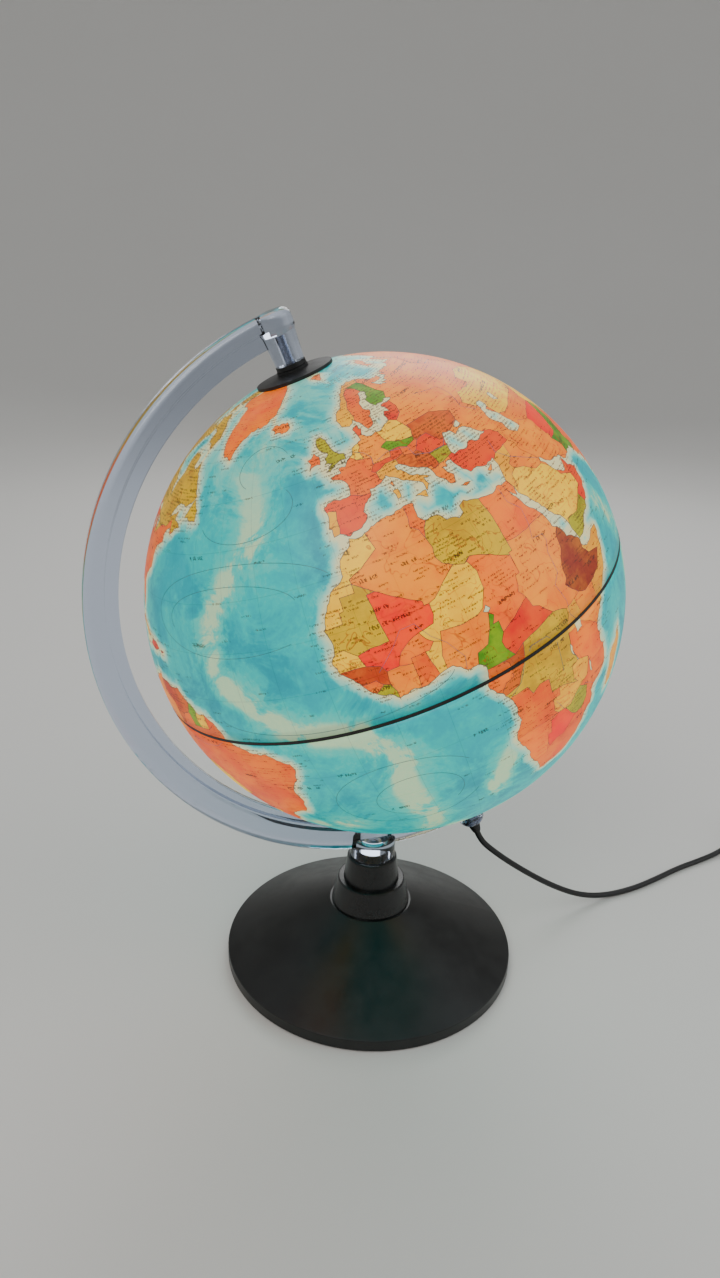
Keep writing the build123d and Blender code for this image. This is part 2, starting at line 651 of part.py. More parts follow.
def make_switch():
    """Hand switch on the lead: two case halves, a rocker on trunnions and one screw."""
    cord_hole_r = CORD_R + 0.15
    with BuildPart(SWITCH) as switch_lower_case:
        with BuildSketch(SWITCH):
            RectangleRounded(SWITCH_LENGTH, SWITCH_WIDTH, 8.0)
        extrude(amount=SWITCH_SPLIT_Z)
        fillet(switch_lower_case.edges().group_by(Axis.Z)[0], 1.6)
        with Locations((0, 0, SWITCH_SPLIT_Z)):
            Box(
                SWITCH_LENGTH - 10,
                14.0,
                2 * (SWITCH_SPLIT_Z - 2.0),
                mode=Mode.SUBTRACT,
            )
            Cylinder(cord_hole_r, SWITCH_LENGTH + 2, rotation=(0, 90, 0), mode=Mode.SUBTRACT)
        with Locations((19.0, 0, 0)):
            Cylinder(3.2, SWITCH_SPLIT_Z, align=FROM_BELOW)
            Cylinder(1.6, SWITCH_SPLIT_Z, align=FROM_BELOW, mode=Mode.SUBTRACT)
            Cylinder(2.7, 2.2, align=FROM_BELOW, mode=Mode.SUBTRACT)
    keep(switch_lower_case.part, "switch_lower_case")

    upper_height = SWITCH_HEIGHT - SWITCH_SPLIT_Z
    with BuildPart(SWITCH) as switch_upper_case:
        with BuildSketch(SWITCH.offset(SWITCH_SPLIT_Z)):
            RectangleRounded(SWITCH_LENGTH, SWITCH_WIDTH, 8.0)
        extrude(amount=upper_height)
        fillet(switch_upper_case.edges().group_by(Axis.Z)[-1], 2.6)
        with Locations((0, 0, SWITCH_SPLIT_Z)):
            Box(
                SWITCH_LENGTH - 10,
                14.0,
                2 * (upper_height - 2.0),
                mode=Mode.SUBTRACT,
            )
            Cylinder(cord_hole_r, SWITCH_LENGTH + 2, rotation=(0, 90, 0), mode=Mode.SUBTRACT)
        with Locations((0, 0, SWITCH_HEIGHT)):
            Box(2 * ROCKER_R + 0.8, ROCKER_WIDTH + 0.8, 8.0, mode=Mode.SUBTRACT)
        with Locations((0, 0, ROCKER_PIVOT_Z)):
            Cylinder(
                TRUNNION_R + 0.08,
                TRUNNION_SPAN + 0.4,
                rotation=(90, 0, 0),
                mode=Mode.SUBTRACT,
            )
        with Locations((19.0, 0, SWITCH_SPLIT_Z)):
            Cylinder(3.2, upper_height - 1.0, align=FROM_BELOW)
            Cylinder(1.3, upper_height - 3.0, align=FROM_BELOW, mode=Mode.SUBTRACT)
    keep(switch_upper_case.part, "switch_upper_case")

    pivot = SWITCH_CENTRE + Vector(0, 0, ROCKER_PIVOT_Z)
    rocker_plane = Plane(origin=pivot, x_dir=LEAD_DIR, z_dir=LEAD_SIDE)
    crown_z = 6.6
    drop = ROCKER_R * tan(radians(ROCKER_TILT))
    with BuildPart() as switch_rocker:
        with BuildSketch(rocker_plane):
            Circle(ROCKER_R)
            with BuildLine():
                Polyline(
                    (-ROCKER_R, -2.0),
                    (ROCKER_R, -2.0),
                    (ROCKER_R, crown_z - drop),
                    (0, crown_z),
                    (-ROCKER_R, crown_z - drop),
                    close=True,
                )
            make_face(mode=Mode.INTERSECT)
        extrude(amount=ROCKER_WIDTH / 2, both=True)
        with BuildSketch(rocker_plane):
            Circle(TRUNNION_R)
        extrude(amount=TRUNNION_SPAN / 2, both=True)
    tilted = switch_rocker.part.rotate(Axis(pivot, LEAD_SIDE), ROCKER_TILT)
    keep(tilted, "switch_rocker")

    with BuildPart(SWITCH) as switch_case_screw:
        with Locations((19.0, 0, 0.3)):
            Cylinder(2.6, 1.8, align=FROM_BELOW)
            Cylinder(1.25, 12.5, align=FROM_BELOW)
    keep(switch_case_screw.part, "switch_case_screw")


def make_plug():
    """Flat two-pin mains plug with a tapered sleeve round the lead."""
    half_height = PLUG_HEIGHT / 2
    sleeve = Plane(
        origin=PLUG_START + Vector(0, 0, half_height),
        x_dir=(0, 0, 1),
        z_dir=PLUG_DIR,
    )
    with BuildPart() as plug_body:
        shape = [(0, -6.5), (9, -8.0), (20, -13.0), (36, -13.0)]
        shape += [(x, -y) for x, y in reversed(shape)]
        with BuildSketch(PLUG) as plan:
            with BuildLine():
                Polyline(*shape, close=True)
            make_face()
            fillet(plan.vertices(), 1.4)
        extrude(amount=PLUG_HEIGHT)
        fillet(plug_body.edges().group_by(Axis.Z)[0], 1.2)
        fillet(plug_body.edges().group_by(Axis.Z)[-1], 1.2)
        with BuildSketch(sleeve):
            Circle(4.4)
        with BuildSketch(sleeve.offset(-PLUG_SLEEVE)):
            Circle(3.1)
        loft()
        with BuildSketch(sleeve.offset(-PLUG_SLEEVE)):
            Circle(CORD_R + 0.15)
        extrude(amount=PLUG_SLEEVE, mode=Mode.SUBTRACT)
        with BuildSketch(sleeve.offset(PLUG_LENGTH)):
            with Locations((0, PLUG_PIN_SPACING / 2), (0, -PLUG_PIN_SPACING / 2)):
                Circle(PLUG_PIN_ROOT_R + SEAT_GAP)
        extrude(amount=-PLUG_PIN_ROOT_LENGTH - 0.1, mode=Mode.SUBTRACT)
    keep(plug_body.part, "plug_body")

    with BuildPart() as plug_pins:
        with BuildSketch(sleeve.offset(PLUG_LENGTH)):
            with Locations((0, PLUG_PIN_SPACING / 2), (0, -PLUG_PIN_SPACING / 2)):
                Circle(PLUG_PIN_R)
        extrude(amount=PLUG_PIN_LENGTH)
        with BuildSketch(sleeve.offset(PLUG_LENGTH)):
            with Locations((0, PLUG_PIN_SPACING / 2), (0, -PLUG_PIN_SPACING / 2)):
                Circle(PLUG_PIN_ROOT_R)
        extrude(amount=-PLUG_PIN_ROOT_LENGTH)
        tips = plug_pins.edges().filter_by(GeomType.CIRCLE).sort_by(Axis(PLUG_START, PLUG_DIR))[-2:]
        fillet(tips, 1.2)
    keep(plug_pins.part, "plug_pins")


def main():
    os.makedirs("parts", exist_ok=True)
    make_base_shell()
    make_base_inside()
    make_stem()
    make_meridian_arm()
    make_globe_half("globe_north_half", 1, NORTH_HOLE_R)
    make_globe_half("globe_south_half", -1, SOUTH_HOLE_R)
    make_globe_fittings()
    make_pole_hardware()
    make_lamp()
    make_lead()
    make_switch()
    make_plug()
    print("rocker pivot", SWITCH_CENTRE + Vector(0, 0, ROCKER_PIVOT_Z), "axis", LEAD_SIDE)
    print("plug pins end at", PLUG_START + PLUG_DIR * (PLUG_LENGTH + PLUG_PIN_LENGTH))
    print("heading of the lead, degrees", round(degrees(LEAD_HEADING), 1))


main()
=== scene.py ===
import json
import random
from math import ceil, cos, floor, hypot, pi, radians, sin

import bmesh
import bpy
import numpy as np
from mathutils import Matrix, Vector
from mathutils.geometry import delaunay_2d_cdt


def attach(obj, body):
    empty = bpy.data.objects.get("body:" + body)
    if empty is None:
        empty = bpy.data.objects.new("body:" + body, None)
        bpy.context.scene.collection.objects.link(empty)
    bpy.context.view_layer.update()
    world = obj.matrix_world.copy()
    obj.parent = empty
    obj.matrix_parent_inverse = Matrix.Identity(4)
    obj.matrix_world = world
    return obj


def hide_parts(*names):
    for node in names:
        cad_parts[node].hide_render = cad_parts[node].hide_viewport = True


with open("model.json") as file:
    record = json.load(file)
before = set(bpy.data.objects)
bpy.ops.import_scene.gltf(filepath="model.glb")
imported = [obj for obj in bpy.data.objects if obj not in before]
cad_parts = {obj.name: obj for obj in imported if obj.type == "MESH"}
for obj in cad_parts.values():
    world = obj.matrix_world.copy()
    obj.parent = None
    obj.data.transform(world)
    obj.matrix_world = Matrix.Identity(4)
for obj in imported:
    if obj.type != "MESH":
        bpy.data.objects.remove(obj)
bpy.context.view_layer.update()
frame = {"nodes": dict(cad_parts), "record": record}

MM = 0.001
FULL_TURN = 2 * pi
UP = Vector((0.0, 0.0, 1.0))
SCENE = bpy.context.scene

# ---------------------------------------------------------------- frame and sizes, in metres and radians
TILT = radians(23.5)
NORTH = Vector((-sin(TILT), 0.0, cos(TILT)))
ACROSS = Vector((cos(TILT), 0.0, sin(TILT)))
SIDE = Vector((0.0, 1.0, 0.0))
BALL_CENTRE = Vector((0.0, 0.0, 0.27435))
BALL_R = 0.150
BALL_WALL = 0.0022
ACROSS_LON = 97.7  # degrees; the longitude that lies along ACROSS
LAMP_BELOW_CENTRE = 0.032

CORD_D = 0.0044
LEAD_HEADING = radians(18.0)
LEAD_DIR = Vector((cos(LEAD_HEADING), sin(LEAD_HEADING), 0.0))
LEAD_SIDE = Vector((sin(LEAD_HEADING), -cos(LEAD_HEADING), 0.0))
SWITCH_CENTRE = Vector((0.412, 0.054, 0.0))
SWITCH_TO_COIL = 0.078
COIL_OUTER_R = 0.0280
COIL_INNER_R = 0.0222
COIL_LAYERS = 4
COIL_TURN_POINTS = 16
COIL_CLEAR = 0.0007  # gap under the lowest layer
CLIMB_BULGE = 0.0021  # how far a climbing turn swings past its layer
CLIMB_SHARPNESS = 0.4

SLEEVE_BORE_R = 0.00224
SLEEVE_PLUG_R = 0.00344
SLEEVE_TIP_R = 0.0027
GROOVES = 4
GROOVE_DEPTH = 0.0006
GROOVES_START = 0.1970
GROOVES_END = 0.2044

CAMERA_PLACE = Vector((-0.1859, -0.5177, 0.4458))
CAMERA_AIM = Vector((0.2948, 0.8914, -0.3442))
CAMERA_ROLL = radians(1.94)
CAMERA_LENS = 25.13  # millimetres
CAMERA_SENSOR = 36.0  # millimetres
CAMERA_NEAR = 0.01

STAGE_FLAT_R = 2.2
STAGE_RISE_R = 3.6
STAGE_WALL = 3.0
STAGE_RISE_STEPS = 12
STAGE_AROUND = 96
LIGHTS_AIM = Vector((0, 0, 0.25))
WORLD_COLOUR = (0.82, 0.83, 0.85, 1.0)
WORLD_STRENGTH = 0.72


# ---------------------------------------------------------------- camera
def make_camera():
    """The photograph's viewing angle: low three-quarter view from the front left."""
    forward = CAMERA_AIM.normalized()
    right = forward.cross(UP).normalized()
    up = right.cross(forward)
    x_axis = right * cos(CAMERA_ROLL) + up * sin(CAMERA_ROLL)
    y_axis = up * cos(CAMERA_ROLL) - right * sin(CAMERA_ROLL)
    turn = Matrix((x_axis, y_axis, -forward)).transposed()
    lens = bpy.data.cameras.new("camera")
    lens.lens = CAMERA_LENS
    lens.sensor_width = CAMERA_SENSOR
    lens.sensor_fit = "AUTO"
    lens.clip_start = CAMERA_NEAR
    camera = bpy.data.objects.new("camera", lens)
    camera.matrix_world = Matrix.Translation(CAMERA_PLACE) @ turn.to_4x4()
    SCENE.collection.objects.link(camera)
    SCENE.camera = camera


# ---------------------------------------------------------------- shader helpers
def srgb(code):
    """Linear RGBA of a six-digit colour code."""
    parts = [int(code[i : i + 2], 16) / 255 for i in (0, 2, 4)]
    linear = [c / 12.92 if c < 0.04045 else ((c + 0.055) / 1.055) ** 2.4 for c in parts]
    return (*linear, 1.0)


def scaled(colour, factor):
    """A colour made lighter or darker, its alpha left at one."""
    return (*(c * factor for c in colour[:3]), 1.0)


def plug(tree, socket, value):
    """Links a socket to another, or sets its plain value."""
    if isinstance(value, bpy.types.NodeSocket):
        tree.links.new(value, socket)
    else:
        socket.default_value = value


def node(tree, kind, inputs=None, **settings):
    """Adds a shader node; inputs may be sockets or plain values."""
    made = tree.nodes.new("ShaderNode" + kind)
    for key, value in settings.items():
        setattr(made, key, value)
    for key, value in (inputs or {}).items():
        plug(tree, made.inputs[key], value)
    return made


def new_material(name, **constants):
    """A material with one Principled shader, its constants set on the sockets."""
    material = bpy.data.materials.new(name)
    material.use_nodes = True
    tree = material.node_tree
    tree.nodes.clear()
    shader = node(tree, "BsdfPrincipled", {k.replace("_", " "): v for k, v in constants.items()})
    out = node(tree, "OutputMaterial")
    tree.links.new(shader.outputs[0], out.inputs[0])
    return material, tree, shader


def feed(tree, shader, **values):
    """Links values to the shader's sockets, named with underscores for spaces."""
    for name, value in values.items():
        plug(tree, shader.inputs[name.replace("_", " ")], value)


def mix(tree, factor, first, second, blend="MIX"):
    """Blends two colours, each a socket, a linear RGBA or a six-digit code."""
    made = node(tree, "Mix", data_type="RGBA", blend_type=blend)
    for index, value in ((0, factor), (6, first), (7, second)):
        plug(tree, made.inputs[index], srgb(value) if isinstance(value, str) else value)
    return made.outputs[2]


def calc(tree, operation, first, second=0.0, third=0.0, clamp=False):
    """One step of arithmetic."""
    inputs = {0: first, 1: second, 2: third}
    return node(tree, "Math", inputs, operation=operation, use_clamp=clamp).outputs[0]


def times(tree, *values):
    """The product of two or more values."""
    product = values[0]
    for value in values[1:]:
        product = calc(tree, "MULTIPLY", product, value)
    return product


def ramp(tree, value, low, high, to_low=0.0, to_high=1.0):
    """Smooth step of a value from one range to another."""
    inputs = {"Value": value, "From Min": low, "From Max": high, "To Min": to_low, "To Max": to_high}
    return node(tree, "MapRange", inputs, interpolation_type="SMOOTHSTEP").outputs[0]


def object_place(tree):
    return node(tree, "TexCoord").outputs["Object"]


def noise(tree, place, scale, detail, **more):
    """Noise of the place, with Roughness or Distortion where more gives them."""
    return node(tree, "TexNoise", {"Vector": place, "Scale": scale, "Detail": detail, **more}).outputs[0]


def bump(tree, height, strength, distance):
    inputs = {"Strength": strength, "Distance": distance, "Height": height}
    return node(tree, "Bump", inputs).outputs[0]


# ---------------------------------------------------------------- mesh helpers
def new_object(name, verts, faces, material, smooth=True):
    mesh = bpy.data.meshes.new(name)
    mesh.from_pydata([tuple(v) for v in verts], [], faces)
    mesh.validate()
    if smooth:
        mesh.polygons.foreach_set("use_smooth", [True] * len(mesh.polygons))
    made = bpy.data.objects.new(name, mesh)
    SCENE.collection.objects.link(made)
    mesh.materials.append(material)
    return made


def face_outward(mesh):
    """Makes every face of a closed mesh look outward."""
    work = bmesh.new()
    work.from_mesh(mesh)
    bmesh.ops.recalc_face_normals(work, faces=work.faces)
    work.to_mesh(mesh)
    work.free()


def circle(count):
    """Cosine and sine of evenly spaced angles round a full turn."""
    return [(cos(FULL_TURN * i / count), sin(FULL_TURN * i / count)) for i in range(count)]


def ring_faces(rows, around, closed):
    """Faces between rows of points round an axis, the last row joined to the first if closed."""
    faces = []
    for row in range(rows if closed else rows - 1):
        here, below = row * around, (row + 1) % rows * around
        for i in range(around):
            j = (i + 1) % around
            faces.append((here + i, here + j, below + j, below + i))
    return faces


# ---------------------------------------------------------------- mains lead
def coil_points():
    """Control points of the wound lead: layers out and in by turns, with a climbing turn between."""
    centre = SWITCH_CENTRE + LEAD_DIR * SWITCH_TO_COIL + LEAD_SIDE * COIL_OUTER_R
    # A quadratic spline runs inside its control points by this share of their radius.
    cut_in = 0.75 + 0.25 * cos(FULL_TURN / COIL_TURN_POINTS)
    layer_turns = (COIL_OUTER_R - COIL_INNER_R) / CORD_D
    low_z = CORD_D / 2 + COIL_CLEAR
    total = COIL_LAYERS * layer_turns + COIL_LAYERS - 1
    points = []
    for step in range(1, round(total * COIL_TURN_POINTS)):
        turned = step / COIL_TURN_POINTS
        layer = min(int(turned / (layer_turns + 1)), COIL_LAYERS - 1)
        inside = turned - layer * (layer_turns + 1)
        outward = layer % 2 == 1
        share = min(inside / layer_turns, 1.0)
        climb = max(0.0, inside - layer_turns)
        radius = COIL_OUTER_R + (COIL_INNER_R - COIL_OUTER_R) * (1 - share if outward else share)
        if climb > 0:
            radius += CLIMB_BULGE * sin(pi * climb) ** CLIMB_SHARPNESS * (1 if outward else -1)
        angle = LEAD_HEADING + pi / 2 - FULL_TURN * turned
        round_axis = Vector((cos(angle), sin(angle), 0.0)) * (radius / cut_in)
        points.append(centre + round_axis + Vector((0, 0, low_z + (layer + climb) * CORD_D)))
    return points


def make_lead(material, strain_relief):
    """The whole lead as one spline: down from the south pole, along the table, switch, coil, plug."""
    to_switch = [
        (81.74, 0.0, 86.35), (85.53, 0.0, 77.64), (95.5, 0.0, 67.5), (110.5, 0.0, 54.6),
        (132.5, 0.0, 37.8), (156.0, 0.4, 22.0), (180.0, 1.4, 9.2), (205.0, 3.2, 2.6),
        (234.0, 5.6, 2.3), (261.5, 12.6, 2.3), (288.5, 20.8, 2.3), (315.5, 26.0, 2.3),
        (340.5, 31.6, 2.9), (363.02, 38.09, 8.4), (387.27, 45.97, 8.5),
    ]
    under_rocker = [(412.0, 54.0, 3.0)]
    to_coil = [(436.73, 62.03, 8.5), (453.85, 67.6, 8.3), (470.49, 73.0, 4.6), (486.18, 78.1, 2.9)]
    to_plug = [(521.46, 60.12, 16.1), (527.24, 42.34, 13.0), (532.8, 25.22, 6.9), (538.36, 8.1, 6.85)]
    points = [Vector(p) * MM for p in to_switch + under_rocker + to_coil]
    points += coil_points()
    points += [Vector(p) * MM for p in to_plug]
    curve = bpy.data.curves.new("mains_lead", "CURVE")
    curve.dimensions = "3D"
    curve.bevel_depth = CORD_D / 2
    curve.bevel_resolution = 5
    curve.use_fill_caps = True
    curve.resolution_u = 6
    spline = curve.splines.new("NURBS")
    spline.points.add(len(points) - 1)
    for place, point in zip(spline.points, points):
        place.co = (*point, 1.0)
    spline.order_u = 3
    spline.use_endpoint_u = True
    lead = bpy.data.objects.new("mains_lead", curve)
    SCENE.collection.objects.link(lead)
    curve.materials.append(material)
    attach(lead, "stand")
    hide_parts("mains_cord", "mains_cord_link", "mains_cord_tail", "mains_cord_coil")


# ---------------------------------------------------------------- world map, as longitude and latitude
SEAM_LON = -169.0
SEAM_MARGIN = 0.3
NORTH_LIMIT = 87.86
SOUTH_LIMIT = -86.87
EQUATOR_GAP = 0.41
HALVES = {"north": (EQUATOR_GAP, NORTH_LIMIT), "south": (SOUTH_LIMIT, -EQUATOR_GAP)}
PRINT_TO_EQUATOR = 0.3  # no printed line nearer the equator, where the band's groove is

LAND = {
    "africa": [
        (-5.9, 35.8), (-2.9, 35.3), (-1.2, 35.8), (3, 36.9), (7.5, 37.1), (9.8, 37.3), (11, 37),
        (10.3, 34.3), (11.1, 33.3), (15.2, 32.3), (15.8, 31.3), (18.5, 30.4), (20, 31), (20.1, 32.4),
        (21.7, 32.9), (23.2, 32.3), (25.1, 31.6), (29, 30.9), (31, 31.6), (32.3, 31.2), (32.6, 29.9),
        (33.6, 27.8), (35.5, 24), (36.9, 22), (37.2, 21), (37.4, 18.7), (38.6, 18), (39.7, 15.2),
        (41.2, 14.6), (43.1, 12.7), (42.8, 11.6), (44.6, 10.4), (47.5, 11.2), (51.2, 11.8), (51, 10.4),
        (49.3, 6.8), (48, 4.4), (46, 2.5), (43.5, 0.3), (41.6, -1.8), (39.2, -4.7), (38.8, -6.3),
        (39.5, -7.2), (39.6, -9.9), (40.5, -10.5), (40.6, -12.6), (40.6, -15.3), (39.2, -16.9),
        (36.9, -18), (34.8, -19.9), (35.5, -22.2), (35.4, -23.9), (32.9, -25.6), (32.6, -27.6),
        (31.2, -29.8), (29, -32.3), (27, -33.7), (24.8, -34.1), (22, -34.2), (20, -34.8), (18.4, -34.1),
        (18.1, -32.4), (17.2, -29.9), (15.2, -26.8), (14.5, -23), (13.4, -20.6), (11.8, -17.3),
        (11.9, -16), (13.6, -12.6), (13.3, -9.4), (12.3, -6.1), (11.5, -5), (11.1, -4), (9.4, -2.1),
        (8.8, -0.8), (9.5, 1), (9.8, 2.3), (9.7, 3.3), (8.5, 4.3), (6.2, 4.3), (5.2, 5.5), (3.9, 6.4),
        (2.7, 6.3), (1.2, 6), (-2, 4.8), (-4.4, 5.2), (-7.5, 4.4), (-9.2, 5.8), (-11.5, 6.8),
        (-13.2, 8.6), (-13.7, 9.6), (-15, 11), (-16.7, 12.4), (-17.5, 14.7), (-16.5, 16.1),
        (-16.1, 18.1), (-16.4, 19.4), (-17, 21), (-16.2, 22.8), (-15, 25), (-13.9, 26.5), (-13, 27.7),
        (-11.5, 28.3), (-9.8, 29.6), (-9.8, 31.4), (-8.5, 33.2), (-6.8, 34.1),
    ],
    "eurasia": [
        (-5.4, 36.1), (-6.4, 36.8), (-7.4, 37.2), (-8.9, 37), (-8.8, 38.5), (-9.5, 38.8), (-8.9, 40.3),
        (-8.8, 41.9), (-9.2, 43.1), (-8, 43.7), (-4.5, 43.4), (-1.7, 43.6), (-1.2, 44.7), (-1.2, 46),
        (-2.2, 47.2), (-4.7, 48), (-4.7, 48.6), (-1.6, 48.7), (-1.9, 49.7), (0.2, 49.6), (1.6, 50.8),
        (2.5, 51.1), (3.5, 51.4), (4.6, 52.9), (6.9, 53.4), (8.6, 53.8), (8.6, 55), (8.2, 57),
        (10.6, 57.7), (10.3, 56.6), (10.9, 56.3), (9.8, 54.9), (10.9, 54), (14.3, 54.1), (18.5, 54.7),
        (20.8, 55.2), (21.1, 56.8), (22.5, 57.7), (24.2, 57.1), (24.3, 58.3), (23.5, 59.2), (28, 59.6),
        (30, 59.9), (28.5, 60.6), (25, 60.1), (22.5, 60), (21.4, 61.2), (21.5, 63), (25.3, 65),
        (24, 65.8), (22, 65.6), (21.2, 64.6), (17.8, 62.6), (17.2, 60.9), (18.9, 59.9), (16.6, 58.4),
        (16.2, 56.5), (14.6, 55.7), (13, 55.5), (12.4, 57), (11, 58.9), (10.5, 59.4), (8.2, 58.1),
        (5.6, 58.9), (5, 61), (6.5, 62.8), (9.8, 63.8), (12.6, 66), (15, 68.2), (18.5, 69.6),
        (22.5, 70.4), (26, 71.1), (31, 70.3), (33.5, 69.4), (41, 67.7), (40.8, 66.5), (38, 66.1),
        (33.5, 66.7), (34.8, 64.5), (37.8, 63.9), (37, 65.1), (40, 64.7), (40.5, 65.6), (44.2, 66.1),
        (43.6, 68.5), (46.5, 66.9), (46, 68.1), (50.5, 68.2), (54, 68.4), (60.5, 68.9), (61, 69.7),
        (66.5, 68.9), (69, 68.8), (67, 70), (68.5, 72.8), (72.5, 72.8), (72.8, 70.4), (73.8, 67),
        (75, 68.5), (73.5, 71.5), (78, 72.3), (81, 73.6), (87, 74.9), (98, 76.2), (104.3, 77.7),
        (113.5, 75.8), (109, 74), (113, 73.6), (127, 73.4), (129.5, 71.2), (139.5, 72.2), (150, 71.5),
        (160, 69.6), (170.5, 69.9), (178, 69.4), (190.2, 66.1), (187, 64.5), (179.5, 62.5),
        (170.5, 60.1), (164, 59.9), (163.2, 57.8), (161.8, 55), (156.7, 51), (155.7, 55), (157, 57.8),
        (163, 61.6), (155, 59.4), (143, 59.4), (137.5, 54.2), (141, 52.5), (140.3, 48.5),
        (135.5, 44.2), (130.8, 42.4), (127.6, 39.8), (129.4, 37), (129.1, 35.2), (126.4, 34.5),
        (126.8, 37), (125.2, 38.2), (124.5, 40), (121.4, 39), (121.6, 40.7), (118, 39.2),
        (119, 37.3), (122.4, 37.2), (119.3, 35), (121.8, 31.8), (121.5, 29), (119.5, 25.6),
        (116.5, 23), (113.5, 22.2), (110.4, 21), (108, 21.6), (105.9, 19.5), (109.2, 13.6),
        (109, 11.5), (105, 8.7), (104.8, 10.5), (102.3, 12.2), (100.9, 13.4), (99.3, 10.4),
        (100.4, 7.2), (103.4, 4.5), (104.2, 1.4), (101.3, 2.8), (98.4, 8), (98.6, 12), (97.6, 16.6),
        (94.4, 16), (94.2, 18.8), (91.8, 22.4), (88.8, 21.7), (86.9, 20.8), (82.3, 16.7),
        (80.2, 15.2), (79.9, 11), (77.6, 8.1), (76.2, 10), (73.8, 15.7), (72.7, 19.2), (72.6, 21.5),
        (70.5, 20.9), (69, 22.4), (66.7, 25.2), (61.6, 25.2), (57.3, 25.8), (56.5, 27.1),
        (51.5, 27.9), (48.8, 30.3), (48, 29.6), (50, 26.5), (51.6, 25.2), (54, 24.2), (56.4, 26.3),
        (57, 24), (59.8, 22.5), (57.7, 19.2), (55.2, 17.4), (53.1, 16.6), (52.2, 15.7), (45, 12.8),
        (43.3, 12.7), (42.6, 16.4), (39.1, 21.4), (37.2, 24.8), (35, 28), (34.9, 29.5), (34.3, 27.9),
        (32.6, 29.9), (32.3, 31.2), (34.2, 31.3), (35.5, 33.9), (36, 35.9), (36.1, 36.5),
        (34, 36.3), (32.4, 36.1), (30.6, 36.9), (28.2, 36.7), (27, 38), (26.3, 39.5), (26.1, 40.4),
        (26.1, 40.8), (24.4, 40.9), (23.9, 40), (22.8, 40.4), (23, 39.2), (24, 38.2), (23, 36.5),
        (21.7, 36.9), (21.2, 38.3), (19.9, 39.6), (19.4, 41.9), (18, 42.6), (15.2, 44.2),
        (13.6, 45.3), (12.4, 45.3), (12.4, 44.3), (13.6, 43.5), (14.2, 42.4), (16.1, 41.7),
        (18.4, 40.2), (16.9, 40.5), (17.1, 39), (15.8, 37.9), (16, 39.7), (14.3, 40.8),
        (12.2, 41.8), (10.3, 43.4), (8.8, 44.4), (7.6, 43.7), (3.5, 43.2), (3.2, 42), (0.8, 40.8),
        (-0.3, 39.5), (0.2, 38.7), (-0.8, 37.6), (-2.2, 36.8), (-4.4, 36.7),
    ],
    "britain": [
        (-5.6, 50.1), (1.3, 51.2), (1.7, 52.6), (0.2, 53), (-1.6, 55.2), (-2, 57.5), (-3.3, 58.6),
        (-5, 58.5), (-5.8, 56.5), (-4.8, 54.8), (-3, 53.9), (-4.6, 53.2), (-4.3, 52.3), (-5.2, 51.8),
        (-3.2, 51.4),
    ],
    "ireland": [
        (-10.2, 51.6), (-6.4, 52.2), (-6, 54), (-7.4, 55.3), (-8.6, 54.3), (-10, 54.1), (-9.2, 53),
    ],
    "iceland": [
        (-22.5, 63.9), (-18.8, 63.4), (-14.6, 64.4), (-15.5, 66.2), (-20, 65.9), (-22.6, 66.4),
        (-24.2, 65.5), (-22, 64.5),
    ],
    "greenland": [
        (-43.9, 59.9), (-42.5, 62.8), (-40, 65), (-33, 67.5), (-22.5, 70.4), (-20, 75), (-17.5, 79.5),
        (-20, 81.5), (-33, 83.5), (-45, 82.5), (-62, 81.5), (-68, 79.5), (-73, 78.2), (-66, 76),
        (-57, 75), (-54, 71), (-53.5, 67.5), (-51.5, 64), (-48.3, 61),
    ],
    "svalbard": [(11, 79.5), (16, 76.8), (21, 78.5), (26, 80), (18, 80.3)],
    "novaya": [(51.8, 71.5), (57, 70.7), (56, 73.2), (68.5, 76.8), (60, 76), (54, 73.5)],
    "sicily": [(12.5, 38), (15.5, 38.2), (15.1, 36.8)],
    "sardinia": [(8.3, 40.9), (9.7, 40.8), (9.5, 39.2), (8.5, 39)],
    "corsica": [(8.7, 42.5), (9.5, 42.9), (9.2, 41.5)],
    "crete": [(23.6, 35.5), (26.3, 35.2), (24.8, 34.9)],
    "cyprus": [(32.3, 35), (34.5, 35.6), (33.3, 34.6)],
    "madagascar": [
        (49.3, -12), (50.4, -15.8), (49.4, -18), (47.1, -24.9), (44, -25), (43.4, -22.2),
        (44.4, -19.8), (44.3, -16.2), (47.7, -14.6),
    ],
    "ceylon": [(79.8, 8.5), (80.3, 9.7), (81.8, 7.5), (80.6, 6)],
    "sumatra": [(95.3, 5.6), (97.8, 5.2), (103.5, -0.8), (106, -3), (105.8, -5.8), (102, -4)],
    "java": [(105.3, -6.7), (108.5, -6.7), (114.4, -7.8), (114.2, -8.7), (108, -7.7)],
    "borneo": [
        (109, 1.6), (111.3, 2.6), (113, 3.2), (116.8, 7), (119, 5.2), (117.8, 1), (116.3, -3.8),
        (114.5, -4), (110.2, -2.8),
    ],
    "celebes": [
        (119.5, -5.5), (119, -2.8), (120, 0.8), (125, 1.5), (120.8, 0.4), (123, -1), (121.5, -3),
        (122.5, -5),
    ],
    "papua": [
        (131, -0.8), (134, -0.9), (135, -3.3), (138, -1.7), (145, -4.3), (147.8, -6), (150.6, -10.4),
        (146, -8.6), (143, -9), (138.5, -8.3), (138, -5.5), (133, -4),
    ],
    "luzon": [(120.3, 16), (120.7, 18.5), (122.2, 18.4), (121.7, 15), (124, 12.6), (120.7, 13.9)],
    "mindanao": [(122, 7), (123.5, 8.6), (125.5, 9.8), (126.5, 7.5), (125.4, 5.7)],
    "honshu": [
        (130.9, 33.9), (135.5, 35.6), (138.8, 37.8), (140, 40.5), (141.4, 41.4), (142, 39.5),
        (140.8, 35.7), (136, 33.5), (131.5, 31.4), (130.2, 31.3), (129.8, 33),
    ],
    "hokkaido": [(140, 41.5), (141.8, 45.4), (145.4, 43.4), (143.2, 42)],
